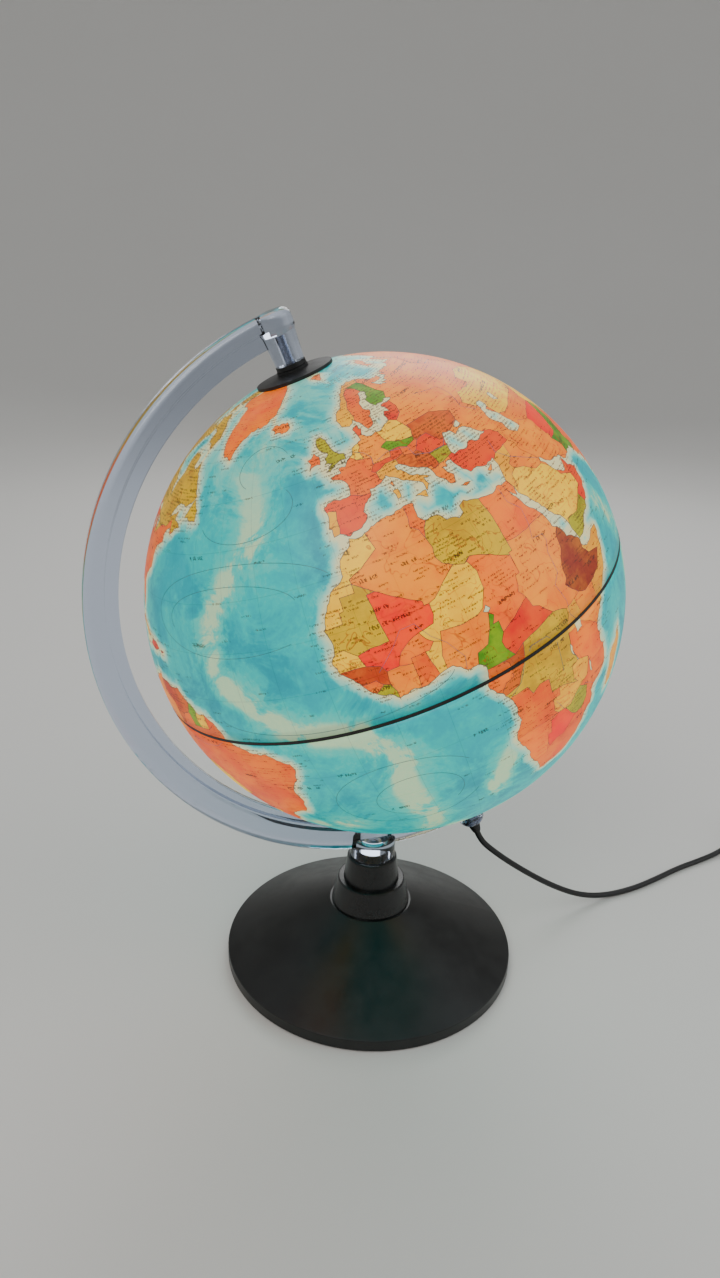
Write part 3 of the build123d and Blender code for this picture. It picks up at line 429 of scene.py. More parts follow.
    "sakhalin": [(142.2, 46), (142.7, 54.3), (143.5, 49)],
    "formosa": [(120.2, 23), (121.6, 25.2), (120.8, 22)],
    "hainan": [(108.7, 19.2), (110.6, 20.1), (109.6, 18.2)],
    "australia": [
        (113.7, -22.5), (114.2, -26), (115.1, -34.2), (118, -35), (123.6, -33.9), (129, -31.6),
        (131.5, -31.5), (135.2, -34.6), (138, -33), (138.5, -35.6), (140.5, -38), (143.5, -38.8),
        (146.3, -39), (150, -37.5), (151.3, -33.5), (153.2, -30), (153.2, -25.5), (150.8, -23.3),
        (146.3, -19), (145.4, -15), (142.5, -10.8), (141.6, -14), (140.5, -17.5), (136.5, -15.5),
        (136.8, -12.2), (132.6, -11.5), (130, -13.5), (128.5, -14.9), (125.8, -14), (122.2, -18),
        (118, -20.3),
    ],
    "tasmania": [(144.8, -40.8), (148.3, -41), (147.5, -43.4), (146, -43.5)],
    "zealand_north": [
        (172.8, -34.6), (175.5, -36.7), (178.4, -37.8), (177, -39.5), (175, -41.5), (173.8, -39.3),
    ],
    "zealand_south": [(172.7, -40.6), (174.3, -41.7), (171, -44.3), (170.6, -46), (166.6, -46)],
    "americas": [
        (-168.1, 65.6), (-162, 66.5), (-166.5, 68.3), (-156.5, 71.3), (-141, 69.6), (-128, 70.3),
        (-115, 68.3), (-108, 67.8), (-95, 68), (-93.5, 71.5), (-90, 69), (-85.5, 69.7), (-82, 69.4),
        (-81.5, 67.4), (-86.5, 66.4), (-87.5, 64.5), (-94.5, 60), (-93, 58.7), (-88, 56.6),
        (-82.3, 55.1), (-82, 52.9), (-79.5, 51.4), (-79, 54.5), (-76.6, 57.2), (-78.5, 60),
        (-77.5, 62.5), (-73.5, 62.4), (-69.5, 61), (-69.5, 59), (-66, 58.8), (-64.5, 60.3),
        (-62, 57.5), (-58.5, 54.8), (-55.7, 52.4), (-59.9, 50.2), (-66.5, 50.2), (-70.5, 47.2),
        (-64.3, 48.8), (-65, 46.9), (-61, 45.5), (-66, 43.6), (-67, 45), (-70.5, 43.2), (-70, 41.7),
        (-74, 40.6), (-75.5, 38), (-75.6, 35.3), (-78.5, 33.8), (-81.3, 31.5), (-80.1, 26.8),
        (-80.9, 25.2), (-82.8, 27.8), (-84, 30.1), (-89.5, 30.2), (-94, 29.6), (-97.3, 26),
        (-97.8, 22.5), (-95.5, 18.8), (-92, 18.5), (-90.5, 21), (-87, 21.5), (-88.3, 18.4),
        (-88.8, 15.9), (-83.3, 15), (-83.8, 11.2), (-81.5, 9), (-79.5, 9.5), (-77.4, 8.6),
        (-75.5, 10.7), (-71.6, 12.4), (-71.6, 11), (-68.2, 11), (-62, 10.7), (-60, 8.5), (-57, 6),
        (-54, 5.8), (-51.7, 4.3), (-50, 1.5), (-50, 0.2), (-48, -0.8), (-44.3, -2.6), (-40, -2.8),
        (-37.2, -4.7), (-35.2, -5.5), (-34.8, -7.5), (-36, -10.2), (-38.5, -13), (-39, -16.5),
        (-40.2, -20.5), (-41.9, -22.9), (-45.5, -23.9), (-48.5, -26), (-48.7, -28.5),
        (-52, -32.8), (-53.5, -34), (-58.2, -34.2), (-56.8, -36.5), (-58, -38.2), (-62.3, -39),
        (-65, -41), (-65.3, -44.8), (-67.5, -46.3), (-65.8, -48), (-69, -51), (-68.4, -52.4),
        (-65.2, -54.8), (-70, -55.2), (-74, -52.5), (-75.5, -48), (-73.2, -42), (-73.6, -37.2),
        (-71.5, -32.5), (-71.5, -29), (-70.3, -23.5), (-70.4, -18.3), (-76.2, -14), (-79, -8.3),
        (-81.3, -5), (-80.3, -3.3), (-80.9, -1.5), (-78.8, 1.4), (-77.4, 4), (-77.9, 7.2),
        (-79.5, 8.9), (-80.4, 7.3), (-82.9, 8.2), (-85.8, 10.6), (-87.6, 13), (-92.2, 14.5),
        (-94.5, 16.2), (-99.5, 16.6), (-105.5, 20.2), (-105.6, 22.8), (-109.3, 25.8), (-113, 31),
        (-114.8, 31.6), (-111, 26.5), (-109.5, 23), (-112.2, 25.5), (-115, 28.5), (-117.2, 32.5),
        (-120.6, 34.6), (-124.3, 40.3), (-124, 46.3), (-123, 49), (-128, 51.8), (-133, 56.5),
        (-138, 59.2), (-146, 60.6), (-152, 59.5), (-158, 56.5), (-164.8, 54.6), (-158, 58.5),
        (-162, 59.5), (-166, 61.7), (-161, 64.3),
    ],
    "newfoundland": [(-59.3, 47.6), (-55.5, 51.6), (-53, 49.2), (-53, 46.8), (-56, 47)],
    "baffin": [
        (-80, 73.7), (-72, 71.5), (-61.5, 66.6), (-64.5, 63.4), (-72, 65.2), (-73.5, 68.2), (-84, 70),
        (-89, 72),
    ],
    "victoria_land": [(-116, 69.3), (-102, 69), (-105, 72.8), (-118, 72.5)],
    "banks": [(-125, 72), (-117, 74.2), (-123, 74.5)],
    "ellesmere": [(-90, 76.7), (-78, 76.5), (-65, 81.8), (-75, 83), (-92, 81.2)],
    "devon": [(-92, 75), (-80, 74.7), (-90, 76.4)],
    "cuba": [(-84.9, 21.9), (-82, 23.2), (-77, 21.6), (-74.2, 20.2), (-77.7, 19.9), (-79, 21.4)],
    "hispaniola": [(-74.4, 18.5), (-72.8, 19.9), (-68.4, 18.6), (-71.3, 17.7)],
    "puerto_rico": [(-67.2, 18.5), (-65.6, 18.3), (-67.2, 17.9)],
    "jamaica": [(-78.3, 18.4), (-76.3, 18.1), (-77.2, 17.8)],
    "falkland": [(-61, -51.3), (-57.8, -51.6), (-60, -52.3)],
    "antarctica": [
        (-169, -78.5), (-158, -77), (-146, -75.5), (-128, -74.3), (-102, -74.5), (-88, -73),
        (-75, -73.2), (-67.5, -68.5), (-64, -65.2), (-57.5, -63.3), (-61, -66.5), (-61, -71), (-60, -75),
        (-45, -78), (-27, -76), (-15, -72.5), (0, -70), (20, -70), (38, -69.5), (52, -66),
        (68, -68.5), (72, -69.8), (82, -67.2), (110, -66.2), (135, -66), (150, -68.5), (170, -71.5),
        (164, -77.8), (180, -78.3), (191, -78.5), (191, -89), (-169, -89),
    ],
}

INLAND_WATER = {
    "black_sea": [
        (27.9, 42.5), (28.2, 41.4), (31.3, 41.2), (35, 42), (38, 41), (41.5, 41.5), (39, 44),
        (36.8, 45.2), (35.4, 45.1), (33.6, 44.5), (33, 46), (30.8, 46.4), (29.2, 44.8), (28.6, 43.7),
    ],
    "azov": [(35, 46.2), (38, 47), (38, 46), (36.2, 45.6)],
    "caspian": [
        (49.6, 45.6), (47.6, 42.8), (49.5, 40.3), (49, 38), (51, 36.8), (53.8, 37), (53, 40),
        (52.8, 41.8), (50.8, 44.6), (53, 45.3), (53, 46.8), (50, 46.6),
    ],
    "aral": [(58.5, 44.5), (60.5, 43.8), (61.5, 46.2), (59.5, 46.3)],
    "chad": [(13.3, 13), (14.3, 14), (15, 13), (14.3, 12.5)],
    "victoria_lake": [(31.8, 0.2), (34, 0.2), (33.8, -2.2), (32, -2.6)],
    "tanganyika": [(29.1, -3.5), (29.7, -4.5), (31, -8.4), (30.4, -8.2), (29.3, -6)],
    "nyasa": [(34, -9.7), (34.8, -12), (35.1, -14.2), (34.5, -14), (34.2, -12)],
    "baikal": [(104, 51.6), (109.5, 55.2), (109, 53.2), (106, 51.9)],
    "superior": [(-91.5, 46.9), (-88, 48.6), (-85, 47.8), (-85, 46.7), (-88, 47)],
    "michigan": [(-87.6, 42), (-87.5, 45), (-85.5, 45.8), (-86.3, 42.5)],
    "huron": [(-84, 46), (-80.5, 45.6), (-81.8, 43.3), (-83.3, 44.3)],
    "bear": [(-123, 66), (-118.5, 66), (-121, 64.9)],
    "slave": [(-116, 61.2), (-110.5, 62.5), (-114, 62)],
    "winnipeg": [(-98.8, 53.6), (-96.8, 51), (-96.4, 51.5)],
}

PAINT = {
    "red": "e8202e", "crimson": "e0282c", "pink": "ff4f62", "salmon": "ff8a5e", "orange": "ffa058",
    "deep": "f4692c", "rust": "c8502c", "brown": "9c4a3c", "yellow": "ffd554", "gold": "f3b84a",
    "olive": "c9b055", "moss": "9aa040", "green": "5f9a48", "ice": "e9ece2",
}

COUNTRIES = [
    ("yellow", [(-8.7, 27.7), (-8.7, 28.7), (-5.5, 29.8), (-3.6, 30.9), (-1.2, 32.2), (-1.8, 34.5),
                (-2.1, 35.9), (-5.6, 36), (-12, 34), (-16, 29), (-15, 27.7)]),
    ("yellow", [(-18, 21), (-13, 21.3), (-13, 23.3), (-12, 23.5), (-12, 26), (-8.7, 26),
                (-8.7, 27.7), (-15, 27.7)]),
    ("olive", [(-4.8, 25), (-6.6, 24.9), (-5.5, 15.5), (-9.5, 15.4), (-12.2, 14.8), (-14.5, 16.6),
               (-18, 16), (-18, 21), (-13, 21.3), (-13, 23.3), (-12, 23.5), (-12, 26), (-8.7, 26),
               (-8.7, 27.7)]),
    ("orange", [(-8.7, 27.7), (-8.7, 28.7), (-5.5, 29.8), (-3.6, 30.9), (-1.2, 32.2), (-1.8, 34.5),
                (-2.1, 35.9), (3, 38), (8.6, 37.8), (8.2, 34.8), (7.6, 33.2), (9.1, 32), (9.5, 30.2),
                (9.9, 28), (9.4, 26.2), (10.2, 24.6), (12, 23.5), (5.7, 19.5), (4.3, 19.1),
                (3.2, 19.1), (3.2, 20), (1.2, 21.1), (-4.8, 25)]),
    ("deep", [(8.6, 37.8), (11.8, 37.5), (11.6, 33.2), (10.3, 31.9), (9.5, 30.2), (9.1, 32),
              (7.6, 33.2), (8.2, 34.8)]),
    ("olive", [(9.5, 30.2), (10.3, 31.9), (11.6, 33.2), (15, 33.2), (25.1, 33), (25, 22), (25, 20),
               (24, 20), (24, 19.5), (16, 23.4), (14.2, 22.6), (12, 23.5), (10.2, 24.6),
               (9.4, 26.2), (9.9, 28)]),
    ("salmon", [(25.1, 33), (34.2, 31.8), (34.9, 29.5), (34, 27), (36.9, 22), (25, 22)]),
    ("orange", [(25, 22), (36.9, 22), (38.6, 18), (37, 17), (36.4, 14.3), (35, 12.7), (34.1, 10.6),
                (34, 8.7), (33, 7.8), (35.9, 4.6), (34, 4.2), (31, 3.7), (29.5, 4.5), (27.4, 5.1),
                (25, 7.9), (23.5, 8.7), (22.9, 11), (21.9, 12.7), (22.9, 15.7), (24, 15.7),
                (24, 20), (25, 20)]),
    ("salmon", [(24, 19.5), (24, 15.7), (22.9, 15.7), (21.9, 12.7), (22.9, 11), (19, 9), (15.5, 7.5),
                (15.5, 10), (14.2, 10), (15.1, 11.5), (14.2, 12.4), (13.6, 13.7), (15.5, 16.9),
                (15.9, 20.4), (14.9, 22.8), (16, 23.4)]),
    ("yellow", [(12, 23.5), (14.2, 22.6), (14.9, 22.8), (15.9, 20.4), (15.5, 16.9), (13.6, 13.7),
                (12.3, 13.1), (9, 12.8), (6.8, 13.1), (4.1, 13.5), (3.6, 11.7), (2.2, 12.3),
                (1, 13.4), (0.2, 14.9), (3.5, 15.4), (4.2, 16.9), (4.3, 19.1), (5.7, 19.5)]),
    ("pink", [(-4.8, 25), (1.2, 21.1), (3.2, 20), (3.2, 19.1), (4.3, 19.1), (4.2, 16.9), (3.5, 15.4),
              (0.2, 14.9), (-2, 14.2), (-4.3, 12.7), (-5.3, 11), (-5.5, 10.4), (-8, 10.2),
              (-8.8, 11.6), (-11.4, 12.4), (-12.2, 14.8), (-9.5, 15.4), (-5.5, 15.5), (-6.6, 24.9)]),
    ("yellow", [(-18, 16), (-14.5, 16.6), (-12.2, 14.8), (-11.4, 12.4), (-13.7, 12.6), (-18, 12.3)]),
    ("rust", [(-18, 12.3), (-13.7, 12.6), (-11.4, 12.4), (-8.8, 11.6), (-8, 10.2), (-8.3, 7.6),
              (-9.5, 8), (-10.6, 9.2), (-13.4, 9), (-16, 9.5)]),
    ("deep", [(-13.4, 9), (-10.6, 9.2), (-9.5, 8), (-11.5, 6.6), (-14, 7.5)]),
    ("moss", [(-11.5, 6.6), (-9.5, 8), (-8.3, 7.6), (-7.5, 5.8), (-7.5, 4), (-10.5, 5)]),
    ("orange", [(-8.3, 7.6), (-8, 10.2), (-5.5, 10.4), (-2.9, 9.9), (-3, 4.6), (-7.5, 4),
                (-7.5, 5.8)]),
    ("salmon", [(-5.5, 10.4), (-5.3, 11), (-4.3, 12.7), (-2, 14.2), (0.2, 14.9), (1, 13.4),
                (2.2, 12.3), (0.9, 11), (0, 11.1), (-2.9, 11), (-2.9, 9.9)]),
    ("deep", [(-2.9, 9.9), (-2.9, 11), (0, 11.1), (0.5, 8.5), (1.2, 5.5), (-3, 4.6)]),
    ("yellow", [(0, 11.1), (0.9, 11), (2.2, 12.3), (3.6, 11.7), (2.7, 9), (2.7, 5.6), (1.2, 5.5),
                (0.5, 8.5)]),
    ("orange", [(2.7, 5.6), (2.7, 9), (3.6, 11.7), (4.1, 13.5), (6.8, 13.1), (9, 12.8), (12.3, 13.1),
                (13.6, 13.7), (14.2, 12.4), (13.2, 9.6), (11.7, 7), (9.2, 6.4), (8.5, 4), (6, 3.5)]),
    ("green", [(14.2, 12.4), (15.1, 11.5), (14.2, 10), (15.5, 10), (15.5, 7.5), (14.5, 6),
               (14.7, 4.6), (16.2, 2.2), (13.3, 2.2), (9, 2.2), (8.5, 4), (9.2, 6.4), (11.7, 7),
               (13.2, 9.6)]),
    ("red", [(15.5, 7.5), (19, 9), (22.9, 11), (23.5, 8.7), (25, 7.9), (27.4, 5.1), (22.4, 4.1),
             (18.6, 3.5), (16.2, 2.2), (14.7, 4.6), (14.5, 6)]),
    ("deep", [(9, 2.2), (13.3, 2.2), (14.4, 1.4), (14.4, -1.9), (12.4, -2.3), (11.1, -4), (8, -1)]),
    ("rust", [(13.3, 2.2), (16.2, 2.2), (18.6, 3.5), (17.8, 0), (16.2, -2), (15, -4.3),
              (12.9, -4.8), (11, -5.2), (11.1, -4), (12.4, -2.3), (14.4, -1.9), (14.4, 1.4)]),
    ("olive", [(18.6, 3.5), (22.4, 4.1), (27.4, 5.1), (29.5, 4.5), (31, 3.7), (31, 2.2), (29.7, 0),
               (29.3, -4.4), (30.8, -8.3), (28.5, -8.8), (28.6, -12), (29.8, -13.4), (27.5, -12.3),
               (25.3, -11.3), (24, -11), (22, -11), (21.8, -7.3), (19.5, -7), (17.5, -8.1),
               (16.6, -5.9), (11.5, -6), (11, -5.2), (12.9, -4.8), (15, -4.3), (16.2, -2),
               (17.8, 0)]),
    ("gold", [(29.7, 0), (31, 2.2), (31, 3.7), (34, 4.2), (34.6, 1.2), (33.9, -1), (29.5, -1.3)]),
    ("orange", [(34, 4.2), (35.9, 4.6), (38.1, 3.6), (41, 4), (41, -1), (42, -2), (41, -5),
                (39, -4.7), (33.9, -1), (34.6, 1.2)]),
    ("brown", [(36.4, 14.3), (37, 17), (38.6, 18.2), (40, 17), (43.4, 12.9), (42.5, 11), (44, 9),
               (48, 8), (45, 5), (42, 4.2), (41, 4), (38.1, 3.6), (35.9, 4.6), (33, 7.8), (34, 8.7),
               (34.1, 10.6), (35, 12.7)]),
    ("gold", [(43.2, 11.5), (52, 13), (52, 8), (45, -1), (42, -2), (41, -1), (41, 4), (42, 4.2),
              (45, 5), (48, 8), (44, 9), (42.5, 11)]),
    ("salmon", [(29.3, -4.4), (29.5, -1.3), (33.9, -1), (39, -4.7), (42, -7), (41, -10.8),
                (37.5, -11.6), (34.6, -11.5), (33.9, -9.6), (30.8, -8.3)]),
    ("deep", [(11.5, -6), (16.6, -5.9), (17.5, -8.1), (19.5, -7), (21.8, -7.3), (22, -11),
              (24, -11), (24, -13), (22, -13), (22, -16.2), (23.4, -17.6), (18.4, -17.4),
              (11, -17.3)]),
    ("gold", [(24, -11), (25.3, -11.3), (27.5, -12.3), (29.8, -13.4), (28.6, -12), (28.5, -8.8),
              (30.8, -8.3), (33.9, -9.6), (33.2, -14), (30.3, -15), (28.8, -16), (27, -17.9),
              (25.3, -17.8), (23.4, -17.6), (22, -16.2), (22, -13), (24, -13)]),
    ("deep", [(33.9, -9.6), (34.6, -11.5), (37.5, -11.6), (41, -10.8), (42, -15), (37, -22),
              (34, -27.5), (32.1, -26.9), (31.9, -25.5), (31.3, -22.4), (32.9, -20), (33, -16.7),
              (30.3, -15), (33.2, -14)]),
    ("moss", [(25.3, -17.8), (27, -17.9), (28.8, -16), (30.3, -15), (33, -16.7), (32.9, -20),
              (31.3, -22.4), (29, -22.2), (27.5, -21)]),
    ("pink", [(25.3, -17.8), (27.5, -21), (29, -22.2), (26.5, -24.5), (25.5, -25.7), (22.8, -25.5),
              (20.7, -26.8), (20, -24.8), (20, -22), (21, -22), (21, -18.3), (23.4, -17.6)]),
    ("salmon", [(11, -17.3), (18.4, -17.4), (23.4, -17.6), (21, -18.3), (21, -22), (20, -22),
                (20, -24.8), (20, -28.4), (16.4, -28.6), (13, -25)]),
    ("deep", [(16.4, -28.6), (20, -28.4), (20, -24.8), (20.7, -26.8), (22.8, -25.5), (25.5, -25.7),
              (26.5, -24.5), (29, -22.2), (31.3, -22.4), (31.9, -25.5), (32.1, -26.9), (34, -27.5),
              (28, -36), (17, -36)]),
    ("gold", [(42, -11), (52, -11), (51, -26), (42, -26)]),
    ("red", [(-9.8, 44), (-1.7, 43.6), (0.7, 42.7), (3.5, 42.4), (5, 40), (0, 36.5), (-5.4, 35.95),
             (-7.4, 36.5), (-7.4, 37.2), (-7, 38.2), (-7, 40), (-6.5, 41.6), (-8.2, 42.1),
             (-9.6, 41.9)]),
    ("gold", [(-10, 36.5), (-7.4, 36.5), (-7.4, 37.2), (-7, 38.2), (-7, 40), (-6.5, 41.6),
              (-8.2, 42.1), (-9.6, 41.9)]),
    ("deep", [(-5.5, 48.9), (-1, 50.3), (1.6, 51.3), (2.5, 51.1), (4.2, 49.9), (6.2, 49.5), (8.2, 49),
              (7.6, 47.6), (6.1, 46.3), (7, 45.8), (7, 44.2), (7.6, 43.6), (6, 42.6), (3.5, 42.4),
              (0.7, 42.7), (-1.7, 43.6), (-3, 45)]),
    ("yellow", [(2.5, 51.1), (3.2, 52), (4.4, 53.7), (7.1, 53.6), (6.9, 52.3), (6, 51.8),
                (6.2, 49.5), (4.2, 49.9)]),
    ("orange", [(7.1, 53.6), (7.5, 54.8), (8.6, 55), (9.8, 54.9), (12, 54.8), (14.3, 54.1),
                (14.7, 52), (15, 51), (12.3, 50.3), (13.8, 48.7), (13, 47.5), (9.6, 47.5),
                (7.6, 47.6), (8.2, 49), (6.2, 49.5), (6, 51.8), (6.9, 52.3)]),
    ("red", [(7.5, 54.8), (8.6, 55), (9.8, 54.9), (12.8, 55), (11.8, 56.5), (10.9, 58), (8, 57.6)]),
    ("crimson", [(6.1, 46.3), (7.6, 47.6), (9.6, 47.5), (13, 47.5), (13.8, 48.7), (16.9, 48.6),
                 (16.5, 47), (13.7, 46.5), (10.5, 46.6), (8.5, 46), (7, 45.8)]),
    ("gold", [(7, 45.8), (8.5, 46), (10.5, 46.6), (13.7, 46.5), (13.6, 45.2), (14.5, 43), (18.8, 41),
              (19, 39), (16, 36.3), (12, 36.3), (11.5, 38.5), (7.5, 39), (8.2, 41.4), (10, 41.4),
              (10, 43), (7.6, 43.6), (7, 44.2)]),
    ("green", [(12.3, 50.3), (15, 51), (18.9, 49.6), (22.5, 49.2), (22.2, 48.4), (18.8, 47.8),
               (16.9, 48.6), (13.8, 48.7)]),
    ("yellow", [(14.3, 54.1), (18.5, 55.2), (20.8, 55.2), (23, 54.2), (23.6, 52.5), (24, 50.7),
                (22.5, 49.2), (18.9, 49.6), (15, 51), (14.7, 52)]),
    ("deep", [(16.9, 48.6), (18.8, 47.8), (22.2, 48.4), (22.8, 48), (20.3, 46.2), (18.8, 45.9),
              (16.5, 46.5), (16.5, 47)]),
    ("rust", [(13.7, 46.5), (16.5, 47), (16.5, 46.5), (18.8, 45.9), (20.3, 46.2), (21.5, 44.8),
              (22.6, 44.2), (22.9, 42), (22.7, 41.3), (20.9, 40.9), (20.5, 41.9), (19.2, 41.9),
              (18, 42.3), (15, 43.5), (13.6, 45.2)]),
    ("red", [(22.8, 48), (26.6, 48.3), (28.2, 45.5), (30.5, 45.2), (29, 43.7), (27, 44.1),
             (22.6, 44.2), (21.5, 44.8), (20.3, 46.2)]),
    ("moss", [(22.6, 44.2), (27, 44.1), (29, 43.7), (28.6, 42), (26.4, 41.7), (22.7, 41.3),
              (22.9, 42)]),
    ("orange", [(19.2, 41.9), (20.5, 41.9), (20.9, 40.9), (22.7, 41.3), (26.4, 41.7), (26.1, 40.6),
                (25, 38.5), (27, 36), (25, 34), (20.5, 36.3), (19, 39.8)]),
    ("red", [(26.4, 41.7), (28.6, 42), (31, 42), (35, 42.8), (41.5, 41.8), (43.5, 41.1), (44.8, 39.7),
             (44.8, 37.2), (42.4, 37.1), (38, 36.8), (36.7, 36.2), (36, 35.9), (32.6, 35.9),
             (30, 35.8), (27.4, 36.6), (26.1, 38), (25.7, 40), (26.1, 40.6)]),
    ("gold", [(36, 35.9), (36.7, 36.2), (38, 36.8), (42.4, 37.1), (41.2, 34.5), (38.8, 33.4),
              (39.2, 32.1), (37, 31.5), (36, 29.2), (34.9, 29.5), (34.2, 31.3), (34.5, 33)]),
    ("orange", [(42.4, 37.1), (44.8, 37.2), (46, 35.8), (45.5, 34), (47.8, 31), (48.5, 29.8),
                (47.7, 29.1), (46.5, 29.1), (44.7, 29.2), (42, 31.2), (39.2, 32.1), (38.8, 33.4),
                (41.2, 34.5)]),
    ("yellow", [(34.9, 29.5), (36, 29.2), (37, 31.5), (39.2, 32.1), (42, 31.2), (44.7, 29.2),
                (46.5, 29.1), (47.7, 29.1), (50.5, 26.5), (51.2, 24.5), (55.2, 22.7), (55, 20),
                (52, 19), (47.5, 17), (43.3, 17.5), (42.4, 16.4), (38.5, 20), (34.3, 28)]),
    ("moss", [(42.4, 16.4), (43.3, 17.5), (47.5, 17), (52, 19), (53.1, 16.4), (52, 15), (45, 12),
              (42.8, 12.8)]),
    ("red", [(52, 19), (55, 20), (55.2, 22.7), (56, 24.5), (56.2, 26.8), (61, 23), (58, 17),
             (53.1, 16.4)]),
    ("deep", [(51.2, 24.5), (50.5, 26.5), (54, 26), (56.2, 26.8), (56, 24.5), (55.2, 22.7)]),
    ("orange", [(44.8, 37.2), (44.8, 39.7), (48, 38.8), (49, 38.4), (54, 37.3), (56, 38.1),
                (60.5, 36.5), (61.2, 35.3), (60.6, 33.9), (60.9, 31.5), (61.8, 31), (61, 29.8),
                (63.2, 27.2), (61.6, 24.5), (56.6, 26.8), (51, 27), (48.5, 29.8), (47.8, 31),
                (45.5, 34), (46, 35.8)]),
    ("gold", [(4, 58), (8, 57.8), (11, 58.9), (11.8, 60), (12.2, 63), (14, 64.5), (16.5, 67.5),
              (20.5, 69), (25.6, 69.2), (28.9, 69.1), (31.5, 70.6), (26, 72), (12, 69), (4, 62)]),
    ("deep", [(11, 58.9), (11.8, 60), (12.2, 63), (14, 64.5), (16.5, 67.5), (20.5, 69), (23.7, 67.5),
              (24, 65.8), (21.7, 64.5), (20, 62), (20, 60), (17, 56), (14, 55), (12.4, 55.2),
              (11.8, 56.5)]),
    ("green", [(20.5, 69), (25.6, 69.2), (28.9, 69.1), (29.9, 67.7), (30, 64), (31.5, 62.5),
               (28.6, 60.5), (25, 59.8), (20, 59.6), (20.5, 61.5), (21.7, 64.5), (24, 65.8),
               (23.7, 67.5)]),
    ("crimson", [(20.8, 55.2), (23, 54.2), (26.5, 55.5), (28, 57.5), (28, 59.7), (23, 59.8),
                 (20.5, 57.5)]),
    ("moss", [(-7, 49), (2.5, 50.9), (2.5, 53), (-2, 59.5), (-7.5, 58.5), (-5.6, 55), (-5.6, 51)]),
    ("deep", [(-11, 51), (-5.8, 51.8), (-5.6, 55), (-8, 56), (-11, 55)]),
    ("salmon", [(-25, 63), (-13, 63), (-13, 67), (-25, 67)]),
    ("salmon", [(-75, 79), (-66, 75.5), (-58, 74), (-54, 59), (-40, 59), (-15, 70), (-10, 82),
                (-30, 84.5), (-58, 82.5)]),
    ("rust", [(22.5, 49.2), (24, 50.7), (24, 52), (31, 52), (34, 52), (40, 49.5), (38.2, 47.3),
              (35, 46.4), (33, 45.9), (30.5, 45.2), (28.2, 45.5), (26.6, 48.3), (22.8, 48)]),
    ("yellow", [(47, 49), (51, 51.5), (61, 51), (62, 54), (70, 55), (77, 54), (87, 49.3), (82, 45),
                (80, 42), (71, 42), (66, 42), (56, 41.2), (52.5, 42), (52, 46), (49, 46.5)]),
    ("pink", [(60.5, 36.5), (66, 37.5), (74.5, 37.4), (71, 34), (66.5, 29.8), (61, 29.8),
              (61.8, 31), (60.9, 31.5), (60.6, 33.9), (61.2, 35.3)]),
    ("green", [(61.6, 24.5), (63.2, 27.2), (61, 29.8), (66.5, 29.8), (71, 34), (74.5, 37.4),
               (77, 35.5), (74, 31), (70, 27), (71, 24.3), (67, 23)]),
    ("salmon", [(71, 24.3), (70, 27), (74, 31), (77, 35.5), (79, 32), (81, 30.2), (88, 27),
                (97, 28.3), (94, 24), (92.5, 22), (89, 21), (82, 5), (76, 5), (66, 22)]),
    ("yellow", [(77, 35.5), (74.5, 37.4), (74, 39.5), (80, 42), (82, 45), (87, 49.3), (91, 45.5),
                (96, 42.7), (105, 41.6), (111, 44), (117, 47), (120, 53), (127, 50), (134.5, 48.3),
                (130.8, 42.2), (124.3, 39.8), (123, 30), (118, 22), (108, 21.2), (102, 22), (98, 25),
                (97, 28.3), (88, 27), (81, 30.2), (79, 32)]),
    ("pink", [(87, 49.3), (98, 52), (104, 50.3), (113, 49.6), (117, 47), (111, 44), (105, 41.6),
              (96, 42.7), (91, 45.5)]),
    ("deep", [(92.5, 22), (94, 24), (97, 28.3), (98, 25), (102, 22), (100, 18), (98, 8), (92, 15)]),
    ("moss", [(102, 22), (108, 21.2), (110, 12), (105, 8), (102, 12), (107, 17)]),
    ("gold", [(102, 22), (107, 17), (102, 12), (99, 6), (98, 8), (100, 18)]),
    ("moss", [(92, 6.5), (142, 2), (141, -11), (104, -11)]),
    ("orange", [(141, 0), (152, -2), (152, -12), (141, -11)]),
    ("green", [(129, 33), (129, 30), (143, 33), (146, 46), (139.5, 46)]),
    ("salmon", [(112, -9.5), (156, -9.5), (156, -45), (112, -45)]),
    ("yellow", [(165, -33), (180, -33), (180, -48), (165, -48)]),
    ("ice", [(-169, -60), (191, -60), (191, -89.5), (-169, -89.5)]),
    ("moss", [(-141, 73), (-141, 60), (-131, 55), (-135, 52), (-169, 50), (-169, 73)]),
    ("olive", [(-141, 60), (-141, 84), (-58, 84), (-75, 77), (-50, 56), (-50, 46), (-66, 44.2),
               (-67.5, 47), (-71, 45), (-75, 45), (-79, 43.3), (-83, 42), (-83, 46), (-89, 48),
               (-95, 49), (-123, 49), (-126, 48.5), (-131, 55)]),
    ("deep", [(-123, 49), (-95, 49), (-89, 48), (-83, 46), (-83, 42), (-79, 43.3), (-75, 45),
              (-71, 45), (-67.5, 47), (-66, 44.2), (-70, 40), (-74, 32), (-79, 25), (-81, 24),
              (-90, 28.5), (-97, 26), (-99.5, 27.5), (-104, 29.5), (-106.5, 31.8), (-111, 31.3),
              (-114.8, 32.5), (-118, 32.4), (-126, 40), (-126, 48.5)]),
    ("green", [(-97, 26), (-99.5, 27.5), (-104, 29.5), (-106.5, 31.8), (-111, 31.3), (-114.8, 32.5),
               (-118, 32.4), (-112, 21), (-105, 17), (-92.2, 13.5), (-91, 16), (-89, 17.8),
               (-86, 18), (-86, 23)]),
    ("yellow", [(-92.2, 13.5), (-91, 16), (-89, 17.8), (-86, 18), (-82, 15.5), (-83.5, 11),
                (-85.8, 10)]),
    ("pink", [(-85.8, 10), (-83.5, 11), (-82, 10), (-77.4, 9.2), (-78.2, 6.8), (-82, 6)]),
    ("orange", [(-77.4, 9.2), (-71, 13.5), (-72.5, 9), (-70, 7), (-67.5, 6), (-67, 1.2), (-70, -4.2),
